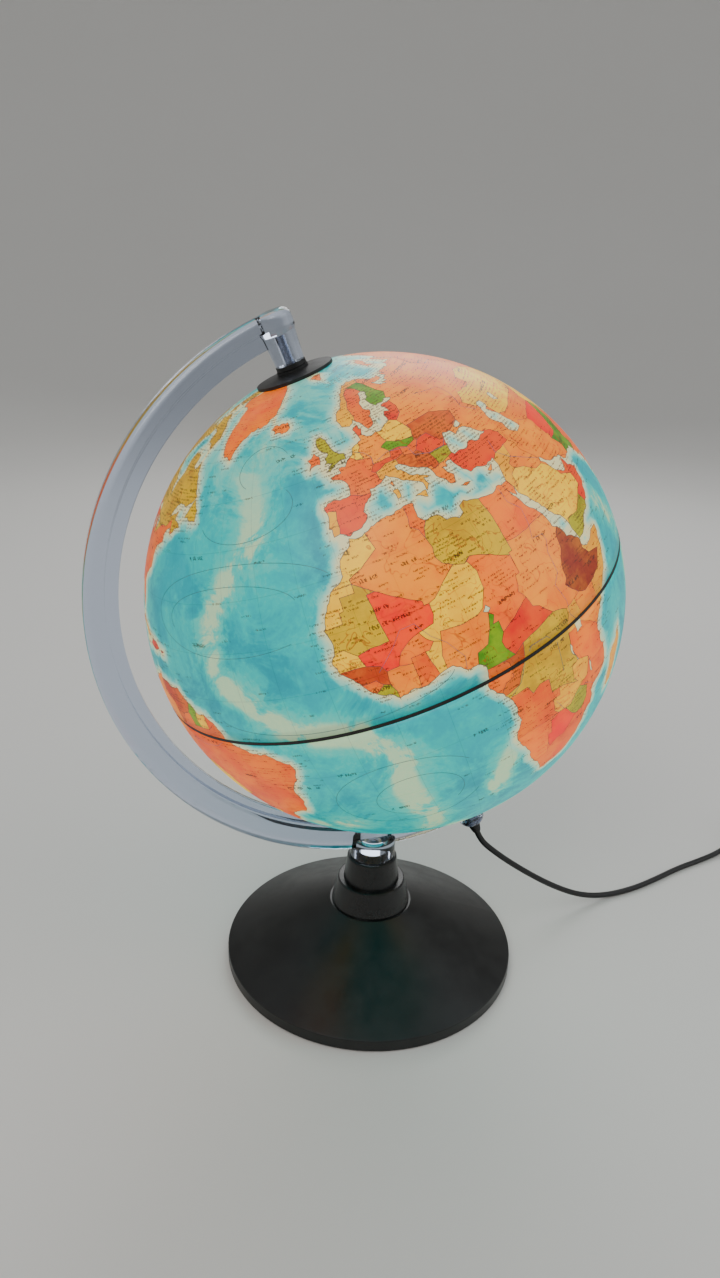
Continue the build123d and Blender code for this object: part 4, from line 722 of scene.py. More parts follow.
                (-75.2, 0), (-78.8, 1.4), (-80, 3), (-78.2, 6.8)]),
    ("rust", [(-71, 13.5), (-60, 11.5), (-59, 8.2), (-60.8, 5.2), (-64, 4), (-65.5, 1), (-67, 1.2),
              (-67.5, 6), (-70, 7), (-72.5, 9)]),
    ("green", [(-59, 8.2), (-57, 6.4), (-58, 4), (-57, 2), (-60, 2), (-60.8, 5.2)]),
    ("yellow", [(-57, 6.4), (-54, 6.2), (-54.3, 2.2), (-57, 2), (-58, 4)]),
    ("deep", [(-54, 6.2), (-51, 5), (-51.7, 4), (-54.3, 2.2)]),
    ("moss", [(-78.8, 1.4), (-75.2, 0), (-78, -3), (-80, -4.5), (-82, -3.5), (-82, 0)]),
    ("pink", [(-80, -4.5), (-78, -3), (-75.2, 0), (-70, -4.2), (-73.5, -7.5), (-70.5, -9.5),
              (-69, -12), (-69.5, -17.5), (-71, -18.5), (-77, -14), (-82.5, -6)]),
    ("yellow", [(-69, -12), (-65.5, -10), (-60.5, -13.5), (-58, -20), (-62.5, -22), (-67.5, -22.8),
                (-69.5, -17.5)]),
    ("crimson", [(-58, -20), (-55.5, -24), (-54.5, -26.5), (-58.5, -27.3), (-62.5, -22)]),
    ("gold", [(-71, -18.5), (-69.5, -17.5), (-67.5, -22.8), (-70, -30), (-71.5, -37), (-72.5, -49),
              (-68.5, -52.4), (-66, -56), (-78, -54), (-74, -30)]),
    ("green", [(-57.8, -30.5), (-53.3, -33.8), (-53, -36), (-58.3, -34.5)]),
    ("yellow", [(-67.5, -22.8), (-62.5, -22), (-58.5, -27.3), (-54.5, -26.5), (-53.8, -27.2),
                (-57.8, -30.5), (-58.3, -34.5), (-55, -37), (-60, -45), (-60, -56), (-66, -56),
                (-68.5, -52.4), (-72.5, -49), (-71.5, -37), (-70, -30)]),
    ("deep", [(-67, 1.2), (-65.5, 1), (-64, 4), (-60.8, 5.2), (-60, 2), (-57, 2), (-54.3, 2.2),
              (-51.7, 4), (-46, 2), (-32, -5), (-38, -25), (-47, -30), (-53, -34), (-53.3, -33.8),
              (-57.8, -30.5), (-53.8, -27.2), (-54.5, -26.5), (-55.5, -24), (-58, -20),
              (-60.5, -13.5), (-65.5, -10), (-69, -12), (-70.5, -9.5), (-73.5, -7.5),
              (-70, -4.2)]),
    ("gold", [(-86, 24), (-74, 22), (-73.8, 19.6), (-78, 19)]),
    ("crimson", [(-75, 20.5), (-65, 19), (-65, 17), (-78.5, 17.5)]),
]

RIVERS = {
    "nile": [(31, 31.2), (30.8, 28), (32.8, 25.5), (32, 22), (30.8, 19.5), (33.8, 19), (33.9, 17.5),
             (32.6, 15.5), (32.5, 11), (30.5, 9.3), (31.8, 5), (31.5, 2), (32.6, 0.4)],
    "niger": [(6.2, 4.6), (6.7, 7), (4.5, 11), (2, 13.5), (0, 16.8), (-3, 16.7), (-5.5, 14), (-9.5, 10.5)],
    "congo": [(12.6, -6), (15.5, -4), (17.5, -0.5), (20, 1.9), (24, 1.6), (26, -1), (26, -8)],
    "zambezi": [(36, -18.4), (32.5, -15.8), (29, -16.5), (25, -17.8), (22.8, -14)],
    "danube": [(29.3, 45.2), (27.5, 44), (22.8, 44.3), (19, 45.5), (18.9, 47.7), (13, 48.8), (9, 48)],
    "volga": [(47.8, 46), (44.8, 48.6), (48.5, 52.5), (49, 55.6), (44, 56.3), (38, 57.6)],
    "euphrates": [(48.3, 30.2), (44.5, 32.3), (40.5, 34.6), (38.2, 37), (39.5, 39.5)],
    "amazon": [(-50.5, -0.2), (-54.5, -2.3), (-60, -3.2), (-65, -2.8), (-70, -4), (-74, -4.5)],
    "rhine": [(4.6, 51.9), (7, 50.8), (8.2, 49.2), (7.7, 47.7)],
    "ob": [(72, 66.8), (66, 64), (69, 61), (78, 60.5), (83, 55)],
    "yangtze": [(121.4, 31.6), (116, 29.8), (111, 30.4), (106, 29.4), (100, 27)],
    "mississippi": [(-89.6, 29.6), (-91, 33), (-89.5, 37), (-91, 41), (-94, 46.5)],
}

RIDGES = [
    [(-18, 65), (-28, 61), (-33, 55), (-30, 48), (-29, 42), (-36, 36), (-43, 29), (-46, 22),
     (-45, 15), (-38, 9), (-31, 2), (-17, -1), (-13, -8), (-14, -20), (-12, -32), (-15, -44), (-4, -52)],
    [(-4, -52), (15, -50), (32, -44), (45, -38), (60, -27), (69, -20), (66, -8), (66, 4), (58, 14)],
    [(4, -32), (7, -26), (11, -20)],
    [(-32, -30), (-38, -31), (-45, -32)],
    [(-128, 48), (-108, 20), (-104, 5), (-109, -15), (-113, -35), (-130, -52), (-165, -62)],
]

# Centre, half width and half height, first and last angle.
CURRENTS = [
    ((-38, 28), (27, 9), 20, 300), ((-40, 27), (19, 6), 10, 200), ((-33, 47), (16, 6), 200, 385),
    ((-14, -21), (17, 11), 30, 330), ((-12, -22), (10, 7), -40, 250), ((-22, 6), (26, 4.5), 190, 355),
    ((-26, 56), (10, 5), 20, 230), ((75, -20), (20, 9), 30, 320), ((-150, 30), (28, 10), 10, 320),
]

# Longest step of a refined line, in degrees of arc, and how far it wanders for its length.
LINE_KINDS = {"coast": (0.9, 0.13), "border": (1.5, 0.035)}
POLAR_LAT = 80
LONG_EDGE = 100
GRID_STEP = 1.9
GRID_CLEAR = 0.42  # share of a step kept clear round every drawn point
GRID_END = 0.8  # no grid points this close to the far side of the seam
FEWEST_IN_ROW = 40
CELL = 2  # degrees across a box of the search grid
BARE_LAND = "ff9a4e"
SHELF_REACH = 1.9  # degrees over which the shelf fades from the coast
RIDGE_REACH = 4.6
UV_DEGREES = 10.0  # degrees to one unit of the map's UV
COMPARED_AT_ONCE = 400
ARC_POINTS = 48

PRINT_BELOW = 0.00003
PRINT_ABOVE = 0.00004
COAST_WIDTH = 0.00032
BORDER_WIDTH = 0.00030
FINE_WIDTH = 0.00024
INK_GLOW = 0.15


def spread(first, second, seed, step, wander):
    """Points from first up to second, broken into short runs that wander off the line."""
    rng = random.Random(seed)
    chain = [first, second]

    def arc(a, b):
        return hypot((b[0] - a[0]) * cos(radians((a[1] + b[1]) / 2)), b[1] - a[1])

    while max(arc(a, b) for a, b in zip(chain, chain[1:])) > step:
        finer = []
        for a, b in zip(chain, chain[1:]):
            shift = rng.uniform(-wander, wander)
            east, up = b[0] - a[0], b[1] - a[1]
            finer += [a, ((a[0] + b[0]) / 2 - up * shift, (a[1] + b[1]) / 2 + east * shift)]
        chain = finer + [chain[-1]]
    return chain


class MapLines:
    """Every coast and border once, refined, so that neighbours share the same line."""

    def __init__(self):
        self.chains = {}

    def chain(self, first, second, kind):
        key = tuple(sorted((first, second)))
        if key not in self.chains:
            step, wander = LINE_KINDS[kind]
            straight = abs(first[1]) > POLAR_LAT or abs(first[0] - second[0]) > LONG_EDGE
            points = spread(*key, f"{key}", step, 0.0 if straight else wander)
            self.chains[key] = (kind, points)
        points = self.chains[key][1]
        return points if key[0] == first else points[::-1]

    def ring(self, outline, kind):
        ring = []
        for first, second in zip(outline, outline[1:] + outline[:1]):
            ring += self.chain(first, second, kind)[:-1]
        return np.array(ring)


def inside(ring, x, y):
    """Which of the points lie inside a closed ring."""
    found = np.zeros(len(x), bool)
    (west, south), (east, north) = ring.min(0), ring.max(0)
    near = np.flatnonzero((x > west) & (x < east) & (y > south) & (y < north))
    if not len(near):
        return found
    x, y = x[near], y[near]
    crossed = np.zeros(len(near), bool)
    for (ax, ay), (bx, by) in zip(ring, np.roll(ring, -1, 0)):
        if ay != by:
            hit = (ay > y) != (by > y)
            crossed ^= hit & (x < (bx - ax) * (y - ay) / (by - ay) + ax)
    found[near] = crossed
    return found


def on_ball(lon, lat, radius):
    """Points on the ball, in the shared frame, from longitudes and latitudes in degrees."""
    turn, rise = np.radians(np.asarray(lon) - ACROSS_LON), np.radians(lat)
    across = np.cos(rise) * np.cos(turn)
    side = np.cos(rise) * np.sin(turn)
    north = np.sin(rise)
    axes = np.array([ACROSS, SIDE, NORTH])
    return np.stack([across, side, north], -1) @ axes * radius + np.array(BALL_CENTRE)


def map_lines():
    """Refined rings of land, water and countries, and every chain they are made of."""
    lines = MapLines()
    land = [lines.ring(outline, "coast") for outline in LAND.values()]
    water = [lines.ring(outline, "coast") for outline in INLAND_WATER.values()]
    countries = [(srgb(PAINT[name]), lines.ring(outline, "border")) for name, outline in COUNTRIES]
    return lines, land, water, countries


def on_land(land, water, lon, lat):
    """Which of the places are land and not inland water."""
    found = np.zeros(len(lon), bool)
    for ring in land:
        found |= inside(ring, lon, lat)
    for ring in water:
        found &= ~inside(ring, lon, lat)
    return found


def clipped_chains(lines, land, water):
    """Chains to draw: whole coasts, and borders only where they cross land."""
    drawn = {"coast": [], "border": []}
    for kind, points in lines.chains.values():
        points = np.array(points)
        middle = (points[1:] + points[:-1]) / 2
        wanted = np.ones(len(middle), bool)
        if kind == "border":
            wanted = on_land(land, water, middle[:, 0], middle[:, 1])
        wanted &= (middle[:, 1] > SOUTH_LIMIT) & (middle[:, 1] < NORTH_LIMIT)
        run = []
        for index, keep in enumerate(list(wanted) + [False]):
            if keep:
                run.append(index)
            elif run:
                drawn[kind].append(points[run[0] : run[-1] + 2])
                run = []
    return drawn


class MapPoints:
    """The map's points, each held once, with a grid to look them up by place."""

    def __init__(self):
        self.places = []
        self.numbers = {}
        self.boxes = {}

    def number(self, lon, lat):
        key = (round(float(lon), 4), round(float(lat), 4))
        if key not in self.numbers:
            self.numbers[key] = len(self.places)
            self.places.append(key)
        return self.numbers[key]

    def fill_boxes(self):
        for lon, lat in self.places:
            self.boxes.setdefault((floor(lon / CELL), floor(lat / CELL)), []).append((lon, lat))

    def crowded(self, lon, lat, room):
        """Whether a point put in the boxes lies closer than room, in degrees of arc."""
        shrink = cos(radians(lat))
        reach = ceil(room / max(shrink, 0.05) / CELL)
        column, row = floor(lon / CELL), floor(lat / CELL)
        for i in range(column - reach, column + reach + 1):
            for j in range(row - 1, row + 2):
                for x, y in self.boxes.get((i, j), ()):
                    if hypot((x - lon) * shrink, y - lat) < room:
                        return True
        return False


def map_triangles(drawn):
    """Longitude and latitude triangles that follow every drawn line and stay small in between."""
    points, edges = MapPoints(), []
    # Segments at or past the seam stay out, so that its two columns hold the same points.
    west, east = SEAM_LON + SEAM_MARGIN, SEAM_LON + 360 - SEAM_MARGIN
    for chains in drawn.values():
        for chain in chains:
            for first, second in zip(chain, chain[1:]):
                if west < min(first[0], second[0]) and max(first[0], second[0]) < east:
                    pair = (points.number(*first), points.number(*second))
                    if pair[0] != pair[1]:
                        edges.append(pair)
    points.fill_boxes()
    last_lon = SEAM_LON + 360 - GRID_END
    for low, high in (HALVES["south"], HALVES["north"]):
        rows = round((high - low) / GRID_STEP)
        for row in range(rows + 1):
            lat = low + (high - low) * row / rows
            count = max(FEWEST_IN_ROW, round(360 * cos(radians(lat)) / GRID_STEP))
            rim = row in (0, rows)
            shift = 0.5 if row % 2 and not rim else 0.0
            line = [points.number(SEAM_LON, lat)]
            for i in range(1, count):
                lon = SEAM_LON + 360 * (i + shift) / count
                if lon > last_lon:
                    continue
                if rim or not points.crowded(lon, lat, GRID_STEP * GRID_CLEAR):
                    line.append(points.number(lon, lat))
            line.append(points.number(SEAM_LON + 360, lat))
            if rim:
                edges += list(zip(line, line[1:]))
    flat = [Vector(p) for p in points.places]
    verts, _, faces, _, _, _ = delaunay_2d_cdt(flat, edges, [], 0, 1e-5)
    return np.array([tuple(v) for v in verts]), np.array([list(f) for f in faces])


def nearest(points, targets):
    """Distance in degrees of arc from each point to the nearest target, all on the ball."""
    where = on_ball(points[:, 0], points[:, 1], 1.0)
    goals = on_ball(targets[:, 0], targets[:, 1], 1.0)
    best = np.full(len(where), np.inf)
    for start in range(0, len(goals), COMPARED_AT_ONCE):
        gap = where[:, None, :] - goals[None, start : start + COMPARED_AT_ONCE, :]
        best = np.minimum(best, np.sqrt((gap**2).sum(-1)).min(1))
    return np.degrees(best)


def dense(route, step=1.0):
    """A route with extra points, none further apart than step."""
    out = []
    for a, b in zip(route, route[1:]):
        parts = max(1, ceil(hypot(b[0] - a[0], b[1] - a[1]) / step))
        for i in range(parts):
            out.append((a[0] + (b[0] - a[0]) * i / parts, a[1] + (b[1] - a[1]) * i / parts))
    return np.array(out + [route[-1]])


def face_colours(lon, lat, is_land, countries):
    """One colour for each face: its country's tint, with land in the alpha."""
    paint = np.tile(np.array(srgb(BARE_LAND)), (len(lon), 1))
    unpainted = is_land.copy()
    for colour, ring in countries:
        hit = unpainted & inside(ring, lon, lat)
        paint[hit] = colour
        unpainted &= ~hit
    paint[:, 3] = is_land
    return paint


def close_shell(mesh):
    """Joins the shell's two columns of points at the map's seam, and turns it outward."""
    work = bmesh.new()
    work.from_mesh(mesh)
    bmesh.ops.remove_doubles(work, verts=work.verts, dist=1e-6)
    work.normal_update()
    outward = sum((f.calc_center_median() - BALL_CENTRE).dot(f.normal) for f in work.faces)
    if outward < 0:
        bmesh.ops.reverse_faces(work, faces=work.faces)
    work.to_mesh(mesh)
    work.free()


def make_map_halves(material, drawn, land, water, countries):
    """The two printed shells of the ball, one mesh each, coloured face by face."""
    places, faces = map_triangles(drawn)
    lon, lat = places[faces].mean(1).T
    paint = face_colours(lon, lat, on_land(land, water, lon, lat), countries)
    to_coast = nearest(places, np.concatenate(drawn["coast"]))
    to_ridge = nearest(places, np.concatenate([dense(route) for route in RIDGES]))
    for half, (low, high) in HALVES.items():
        mine = np.flatnonzero((lat > low) & (lat < high))
        used, index = np.unique(faces[mine], return_inverse=True)
        index = index.reshape(-1, 3)
        verts = on_ball(places[used, 0], places[used, 1], BALL_R)
        shell = new_object(f"globe_{half}_map", verts, index.tolist(), material)
        mesh = shell.data
        uv = mesh.uv_layers.new(name="degrees")
        corners = places[used][index.ravel()] / UV_DEGREES
        uv.uv.foreach_set("vector", corners.astype(np.float32).ravel())
        colours = mesh.color_attributes.new("paint", "FLOAT_COLOR", "CORNER")
        colours.data.foreach_set("color", np.repeat(paint[mine], 3, 0).astype(np.float32).ravel())
        depth = mesh.color_attributes.new("depth", "FLOAT_COLOR", "POINT")
        values = np.ones((len(used), 4), np.float32)
        values[:, 0] = np.exp(-to_coast[used] / SHELF_REACH)
        values[:, 1] = np.exp(-((to_ridge[used] / RIDGE_REACH) ** 2))
        depth.data.foreach_set("color", values.ravel())
        close_shell(mesh)
        wall = shell.modifiers.new("wall", "SOLIDIFY")
        wall.thickness = BALL_WALL
        wall.offset = -1.0
        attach(shell, "ball")
        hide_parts(f"globe_{half}_half")


def print_lines(name, chains, width, material):
    """Printed lines as thin flat ribbons, bedded in the ball's surface and cut at the seam band."""
    low_r, high_r = BALL_R - PRINT_BELOW, BALL_R + PRINT_ABOVE
    centre = np.array(BALL_CENTRE)
    verts, faces = [], []
    for chain in without_seam(chains):
        where = on_ball(chain[:, 0], chain[:, 1], 1.0) - centre
        side = np.cross(np.gradient(where, axis=0), where)
        size = np.linalg.norm(side, axis=1, keepdims=True)
        side = side / np.maximum(size, 1e-12) * width / 2
        start = len(verts)
        for middle, out in zip(where, side):
            for shift, radius in ((1, high_r), (-1, high_r), (-1, low_r), (1, low_r)):
                verts.append(middle * radius + out * shift + centre)
        for i in range(len(chain) - 1):
            a = start + 4 * i
            for j in range(4):
                faces.append((a + j, a + (j + 1) % 4, a + 4 + (j + 1) % 4, a + 4 + j))
        end = start + 4 * (len(chain) - 1)
        faces += [(start + 3, start + 2, start + 1, start), (end, end + 1, end + 2, end + 3)]
    ink = new_object(name, verts, faces, material, smooth=False)
    face_outward(ink.data)
    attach(ink, "ball")


def without_seam(chains):
    """Chains cut where they cross the groove of the equator band."""
    parts = []
    for chain in chains:
        run = []
        for a, b in zip(chain, chain[1:]):
            if min(abs(a[1]), abs(b[1])) > PRINT_TO_EQUATOR and a[1] * b[1] > 0:
                run = run or [a]
                run.append(b)
            elif run:
                parts.append(np.array(run))
                run = []
        if run:
            parts.append(np.array(run))
    return parts


def current_arcs():
    """Sea currents as parts of ellipses, in degrees."""
    arcs = []
    for (lon, lat), (wide, tall), start, end in CURRENTS:
        angles = np.radians(np.linspace(start, end, ARC_POINTS))
        arcs.append(np.stack([lon + wide * np.cos(angles), lat + tall * np.sin(angles)], -1))
    return arcs


# ---------------------------------------------------------------- materials
def sea_colour(tree, cloud, wisp, lat, near_coast, near_ridge):
    """Saturated teal basins, mottled paler rises, broken cream over ridges and shelves."""
    deep = mix(tree, ramp(tree, cloud, 0.4, 0.6), "0f9fb0", "3fb4bf")
    deep = mix(tree, ramp(tree, wisp, 0.38, 0.6, 0.05, 0.75), deep, "86ccca")
    rise = times(tree, near_ridge, ramp(tree, wisp, 0.3, 0.62, 0.35, 1.3))
    rise = calc(tree, "ADD", rise, ramp(tree, cloud, 0.56, 0.7, 0.0, 0.4), clamp=True)
    sea = mix(tree, ramp(tree, rise, 0.1, 0.7, 0.0, 0.85), deep, "8fcbc6")
    sea = mix(tree, ramp(tree, rise, 0.66, 1.05, 0.0, 0.62), sea, "dcdfc4")
    cold = times(tree, ramp(tree, lat, 40.0, 58.0), ramp(tree, wisp, 0.35, 0.6, 0.3, 1.0))
    sea = mix(tree, times(tree, cold, 0.7), sea, "a8d2ca")
    shelf = calc(tree, "ADD", near_coast, calc(tree, "MULTIPLY_ADD", wisp, 0.9, -0.45))
    sea = mix(tree, ramp(tree, shelf, 0.22, 0.62), sea, "b4d8d2")
    return mix(tree, ramp(tree, shelf, 0.5, 1.05, 0.0, 0.85), sea, "e8e0c4")


def land_colour(tree, place, tint):
    """Flat country tints with soft relief and fine brown threads."""
    relief = ramp(tree, noise(tree, place, 48.0, 5.0, Roughness=0.62), 0.38, 0.66)
    darker = mix(tree, 0.55, tint, "c4522a", "MULTIPLY")
    lighter = mix(tree, 0.2, tint, "ffdf96")
    land = mix(tree, relief, lighter, mix(tree, 0.45, tint, darker))
    thread = noise(tree, place, 62.0, 3.0, Distortion=0.5)
    crest = calc(tree, "ABSOLUTE", calc(tree, "SUBTRACT", thread, 0.5))
    return mix(tree, ramp(tree, crest, 0.003, 0.009, 0.5, 0.0), land, "a03a18")


def degree_line(tree, degrees):
    """One where a line of the net runs, every ten degrees."""
    return ramp(tree, calc(tree, "PINGPONG", degrees, 5.0), 0.04, 0.11, 1.0, 0.0)


def tiny_marks(tree, lon, lat, scribble, row_height, letter, word, density, tall):
    """Rows of broken marks along the parallels; sizes in degrees, density a share of the words."""
    level = calc(tree, "DIVIDE", lat, row_height)
    row = calc(tree, "FLOOR", level)
    across = times(tree, lon, calc(tree, "COSINE", calc(tree, "RADIANS", lat)))
    height = ramp(tree, scribble, 0.3, 0.7, tall * 0.35, tall * 1.35)
    off_line = calc(tree, "ABSOLUTE", calc(tree, "SUBTRACT", calc(tree, "FRACT", level), 0.5))
    in_row = calc(tree, "LESS_THAN", off_line, height)
    shift = node(tree, "TexWhiteNoise", {"W": row}, noise_dimensions="1D").outputs[0]
    moved = calc(tree, "MULTIPLY_ADD", shift, word, across)

    def cell(size):
        column = calc(tree, "FLOOR", calc(tree, "DIVIDE", moved, size))
        at = node(tree, "CombineXYZ", {0: column, 1: row}).outputs[0]
        return node(tree, "TexWhiteNoise", {"Vector": at}, noise_dimensions="2D").outputs[0]

    place_in = calc(tree, "FRACT", calc(tree, "DIVIDE", moved, letter))
    gap = calc(tree, "LESS_THAN", place_in, ramp(tree, scribble, 0.35, 0.65, 0.35, 1.0))
    letters = times(tree, calc(tree, "GREATER_THAN", cell(letter), 0.22), gap)
    words = calc(tree, "LESS_THAN", cell(word), density)
    return times(tree, letters, words, in_row)


def map_material():
    """Printed world map that glows from inside: land tints, sea depths, net of degrees, tiny marks."""
    material, tree, shader = new_material(
        "map_print",
        Roughness=0.44,
        IOR=1.45,
        Emission_Strength=0.9,
        Coat_Weight=0.08,
        Coat_Roughness=0.25,
    )
    tint, is_land = node(tree, "VertexColor", layer_name="paint").outputs
    depth = node(tree, "VertexColor", layer_name="depth").outputs[0]
    near_coast, near_ridge, _ = node(tree, "SeparateColor", {0: depth}).outputs
    place = object_place(tree)
    degrees = node(tree, "UVMap", uv_map="degrees").outputs[0]
    lon, lat, _ = node(tree, "SeparateXYZ", {0: degrees}).outputs
    lon, lat = times(tree, lon, UV_DEGREES), times(tree, lat, UV_DEGREES)
    cloud = noise(tree, place, 17.0, 6.0, Roughness=0.65)
    wisp = noise(tree, place, 30.0, 5.0, Roughness=0.7, Distortion=0.7)
    grain = noise(tree, place, 420.0, 2.0)
    scribble = noise(tree, place, 1300.0, 1.0)

    sea = sea_colour(tree, cloud, wisp, lat, near_coast, near_ridge)
    ground = mix(tree, is_land, sea, land_colour(tree, place, tint))
    net = calc(tree, "MAXIMUM", degree_line(tree, lon), degree_line(tree, lat))
    inked = mix(tree, times(tree, net, 0.2), ground, "4c6a6e")

    # Marks crowd on land, along coasts and in the north.
    busy = calc(tree, "MAXIMUM", times(tree, is_land, 0.36), times(tree, near_coast, 0.42))
    northern = ramp(tree, lat, 34.0, 46.0, 1.0, 1.7)
    crowd = times(tree, busy, ramp(tree, cloud, 0.34, 0.6, 0.35, 1.25), northern)
    few = calc(tree, "MULTIPLY_ADD", is_land, 0.06, 0.03)
    crowd = calc(tree, "ADD", crowd, 0.012)
    small = tiny_marks(tree, lon, lat, scribble, 0.74, 0.20, 2.3, crowd, 0.24)
    larger = tiny_marks(tree, lon, lat, scribble, 2.9, 0.52, 4.1, few, 0.13)
    marked = mix(tree, times(tree, small, 0.68), inked, "4a2414")
    marked = mix(tree, times(tree, larger, 0.75), marked, "2a221e")
    worn = mix(tree, ramp(tree, grain, 0.35, 0.7, 0.0, 0.06), marked, "fff2d8")
    vivid = {"Hue": 0.506, "Saturation": 1.55, "Value": 1.0, "Color": worn}
    vivid = node(tree, "HueSaturation", vivid).outputs[0]
    printed = node(tree, "Gamma", {"Color": vivid, "Gamma": 1.25}).outputs[0]

    # The lamp stands low in the ball, so its light is warmer and stronger near it.
    lamp = tuple(BALL_CENTRE - NORTH * LAMP_BELOW_CENTRE)
    away = node(tree, "VectorMath", {0: place, 1: lamp}, operation="DISTANCE").outputs[1]
    warm = mix(tree, ramp(tree, away, 0.118, 0.182), "fff1d6", "c9b9a4")
    glow = mix(tree, 1.0, printed, warm, "MULTIPLY")
    # The joining ring inside the north half keeps some of the light back.
    ring_south, ring_north = ramp(tree, lat, 0.0, 0.6), ramp(tree, lat, 2.2, 3.0, 1.0, 0.0)
    behind_ring = times(tree, ring_south, ring_north, 0.55)
    glow = mix(tree, behind_ring, glow, mix(tree, 1.0, glow, "a0908c", "MULTIPLY"))
    lift = bump(tree, grain, 0.05, 0.0004)
    feed(tree, shader, Base_Color=printed, Emission_Color=glow, Normal=lift)
    return material


def ink_material(name, code):
    """Printing ink, slightly uneven, lit through by the lamp."""
    material, tree, shader = new_material(name, Roughness=0.4, Emission_Strength=INK_GLOW)
    uneven = ramp(tree, noise(tree, object_place(tree), 240.0, 2.0), 0.3, 0.7)
    colour = mix(tree, uneven, code, mix(tree, 0.08, code, "ffffff"))
    feed(tree, shader, Base_Color=colour, Emission_Color=colour)
    return material


def plastic(name, code, roughness):
    """Moulded plastic: slight colour drift, uneven gloss and a fine moulded grain."""
    material, tree, shader = new_material(name, IOR=1.48)
    place = object_place(tree)
    cloud = noise(tree, place, 60.0, 4.0, Roughness=0.6)
    grain = noise(tree, place, 1500.0, 2.0)
    base = srgb(code)
    variation = 0.08
    pale = tuple(min(1.0, c * (1 + 4 * variation) + variation * 0.05) for c in base[:3]) + (1.0,)
    gloss = calc(tree, "ADD", ramp(tree, cloud, 0.25, 0.75, -0.05, 0.05), roughness)
    feed(
        tree,
        shader,
        Base_Color=mix(tree, ramp(tree, cloud, 0.3, 0.7), base, pale),
        Roughness=calc(tree, "ADD", gloss, ramp(tree, grain, 0.3, 0.7, -0.03, 0.03)),
        Normal=bump(tree, grain, 0.12, 0.00012),
    )
    return material


def metal(name, code, roughness):
    """Plated or bare metal with fine marks and small stains."""
    material, tree, shader = new_material(name, Metallic=1.0)
    place = object_place(tree)
    lines = noise(tree, place, 900.0, 3.0)
    stain = noise(tree, place, 120.0, 4.0)
    feed(
        tree,
        shader,
        Base_Color=mix(tree, ramp(tree, stain, 0.35, 0.75), code, scaled(srgb(code), 0.72)),
        Roughness=ramp(tree, lines, 0.3, 0.7, roughness - 0.07, roughness + 0.12),
        Normal=bump(tree, lines, 0.15, 0.0001),
    )
    return material


def clear_plastic(name, colour):
    """Clear acrylic with a faint blue violet cast, handling marks and flow lines from moulding."""
    material, tree, shader = new_material(name, IOR=1.45, Transmission_Weight=1.0, Base_Color=colour)
    place = object_place(tree)
    smear = noise(tree, place, 35.0, 4.0)
    flow = noise(tree, place, 14.0, 2.0, Distortion=1.2)
    rough = ramp(tree, smear, 0.35, 0.75, 0.02, 0.12)
    feed(tree, shader, Roughness=rough, Normal=bump(tree, flow, 0.12, 0.0015))
    return material


def glass_material(name, code):
    """Frosted lamp glass."""
    material, tree, shader = new_material(name, IOR=1.5, Transmission_Weight=1.0)
    frost = noise(tree, object_place(tree), 300.0, 2.0)
    rough = ramp(tree, frost, 0.2, 0.8, 0.25, 0.5)
    feed(tree, shader, Base_Color=mix(tree, frost, code, "ffffff"), Roughness=rough)
    return material


def foam(name, code):
    """Closed-cell foam: dark, dull, with small open pits, their colour darkened with painted shade."""
    material, tree, shader = new_material(name, Roughness=0.92, Specular_IOR_Level=0.2)
    voronoi = node(tree, "TexVoronoi", {"Vector": object_place(tree), "Scale": 900.0})
    cells = voronoi.outputs["Distance"]
    # Painted shade: the colour darkens towards the middle of each pit, where the bump sinks deepest.
    colour = mix(tree, ramp(tree, cells, 0.0, 0.6), scaled(srgb(code), 0.4), code)
    feed(tree, shader, Base_Color=colour, Normal=bump(tree, cells, 0.6, 0.0003))
    return material


def make_finishes():
    """One finish for each material slot of the record, apart from the printed ball."""
    plastics = {
        "foot_plastic": ("0b0c0c", 0.36),
        "stem_plastic": ("090a0b", 0.3),
        "inner_black_plastic": ("121212", 0.5),
        "seam_tape": ("0a0807", 0.5),
        "pole_plastic": ("060606", 0.52),
        "tie_plastic": ("0c0c0c", 0.4),
        "switch_plastic": ("0a0a0b", 0.3),
        "rocker_plastic": ("101011", 0.24),
        "plug_plastic": ("0b0b0c", 0.42),
        "cord_rubber": ("0b0b0c", 0.46),
        "white_plastic": ("d8d4c8", 0.45),
    }
    metals = {
        "steel": ("a3a3a8", 0.3),
        "ballast_steel": ("6b6762", 0.5),
        "brass": ("b8904c", 0.32),
        "aluminium_cap": ("c6c6c6", 0.32),
        "plated_pins": ("bdbbb4", 0.18),
    }
    finishes = {name: plastic(name, *look) for name, look in plastics.items()}
    finishes.update({name: metal(name, *look) for name, look in metals.items()})
    finishes["pad_foam"] = foam("pad_foam", "1d1d20")
    finishes["clear_plastic"] = clear_plastic("clear_plastic", (0.6, 0.68, 0.84, 1.0))
    finishes["bulb_glass"] = glass_material("bulb_glass", "fff0d8")
    return finishes


def finish_nodes(finishes):
    """Every CAD node takes the finish of its own material slot."""
    for part in frame["record"]["subparts"]:
        if part["material_slot"] not in finishes:
            continue
        mesh = frame["nodes"][part["node"]].data
        mesh.materials.clear()
        mesh.materials.append(finishes[part["material_slot"]])


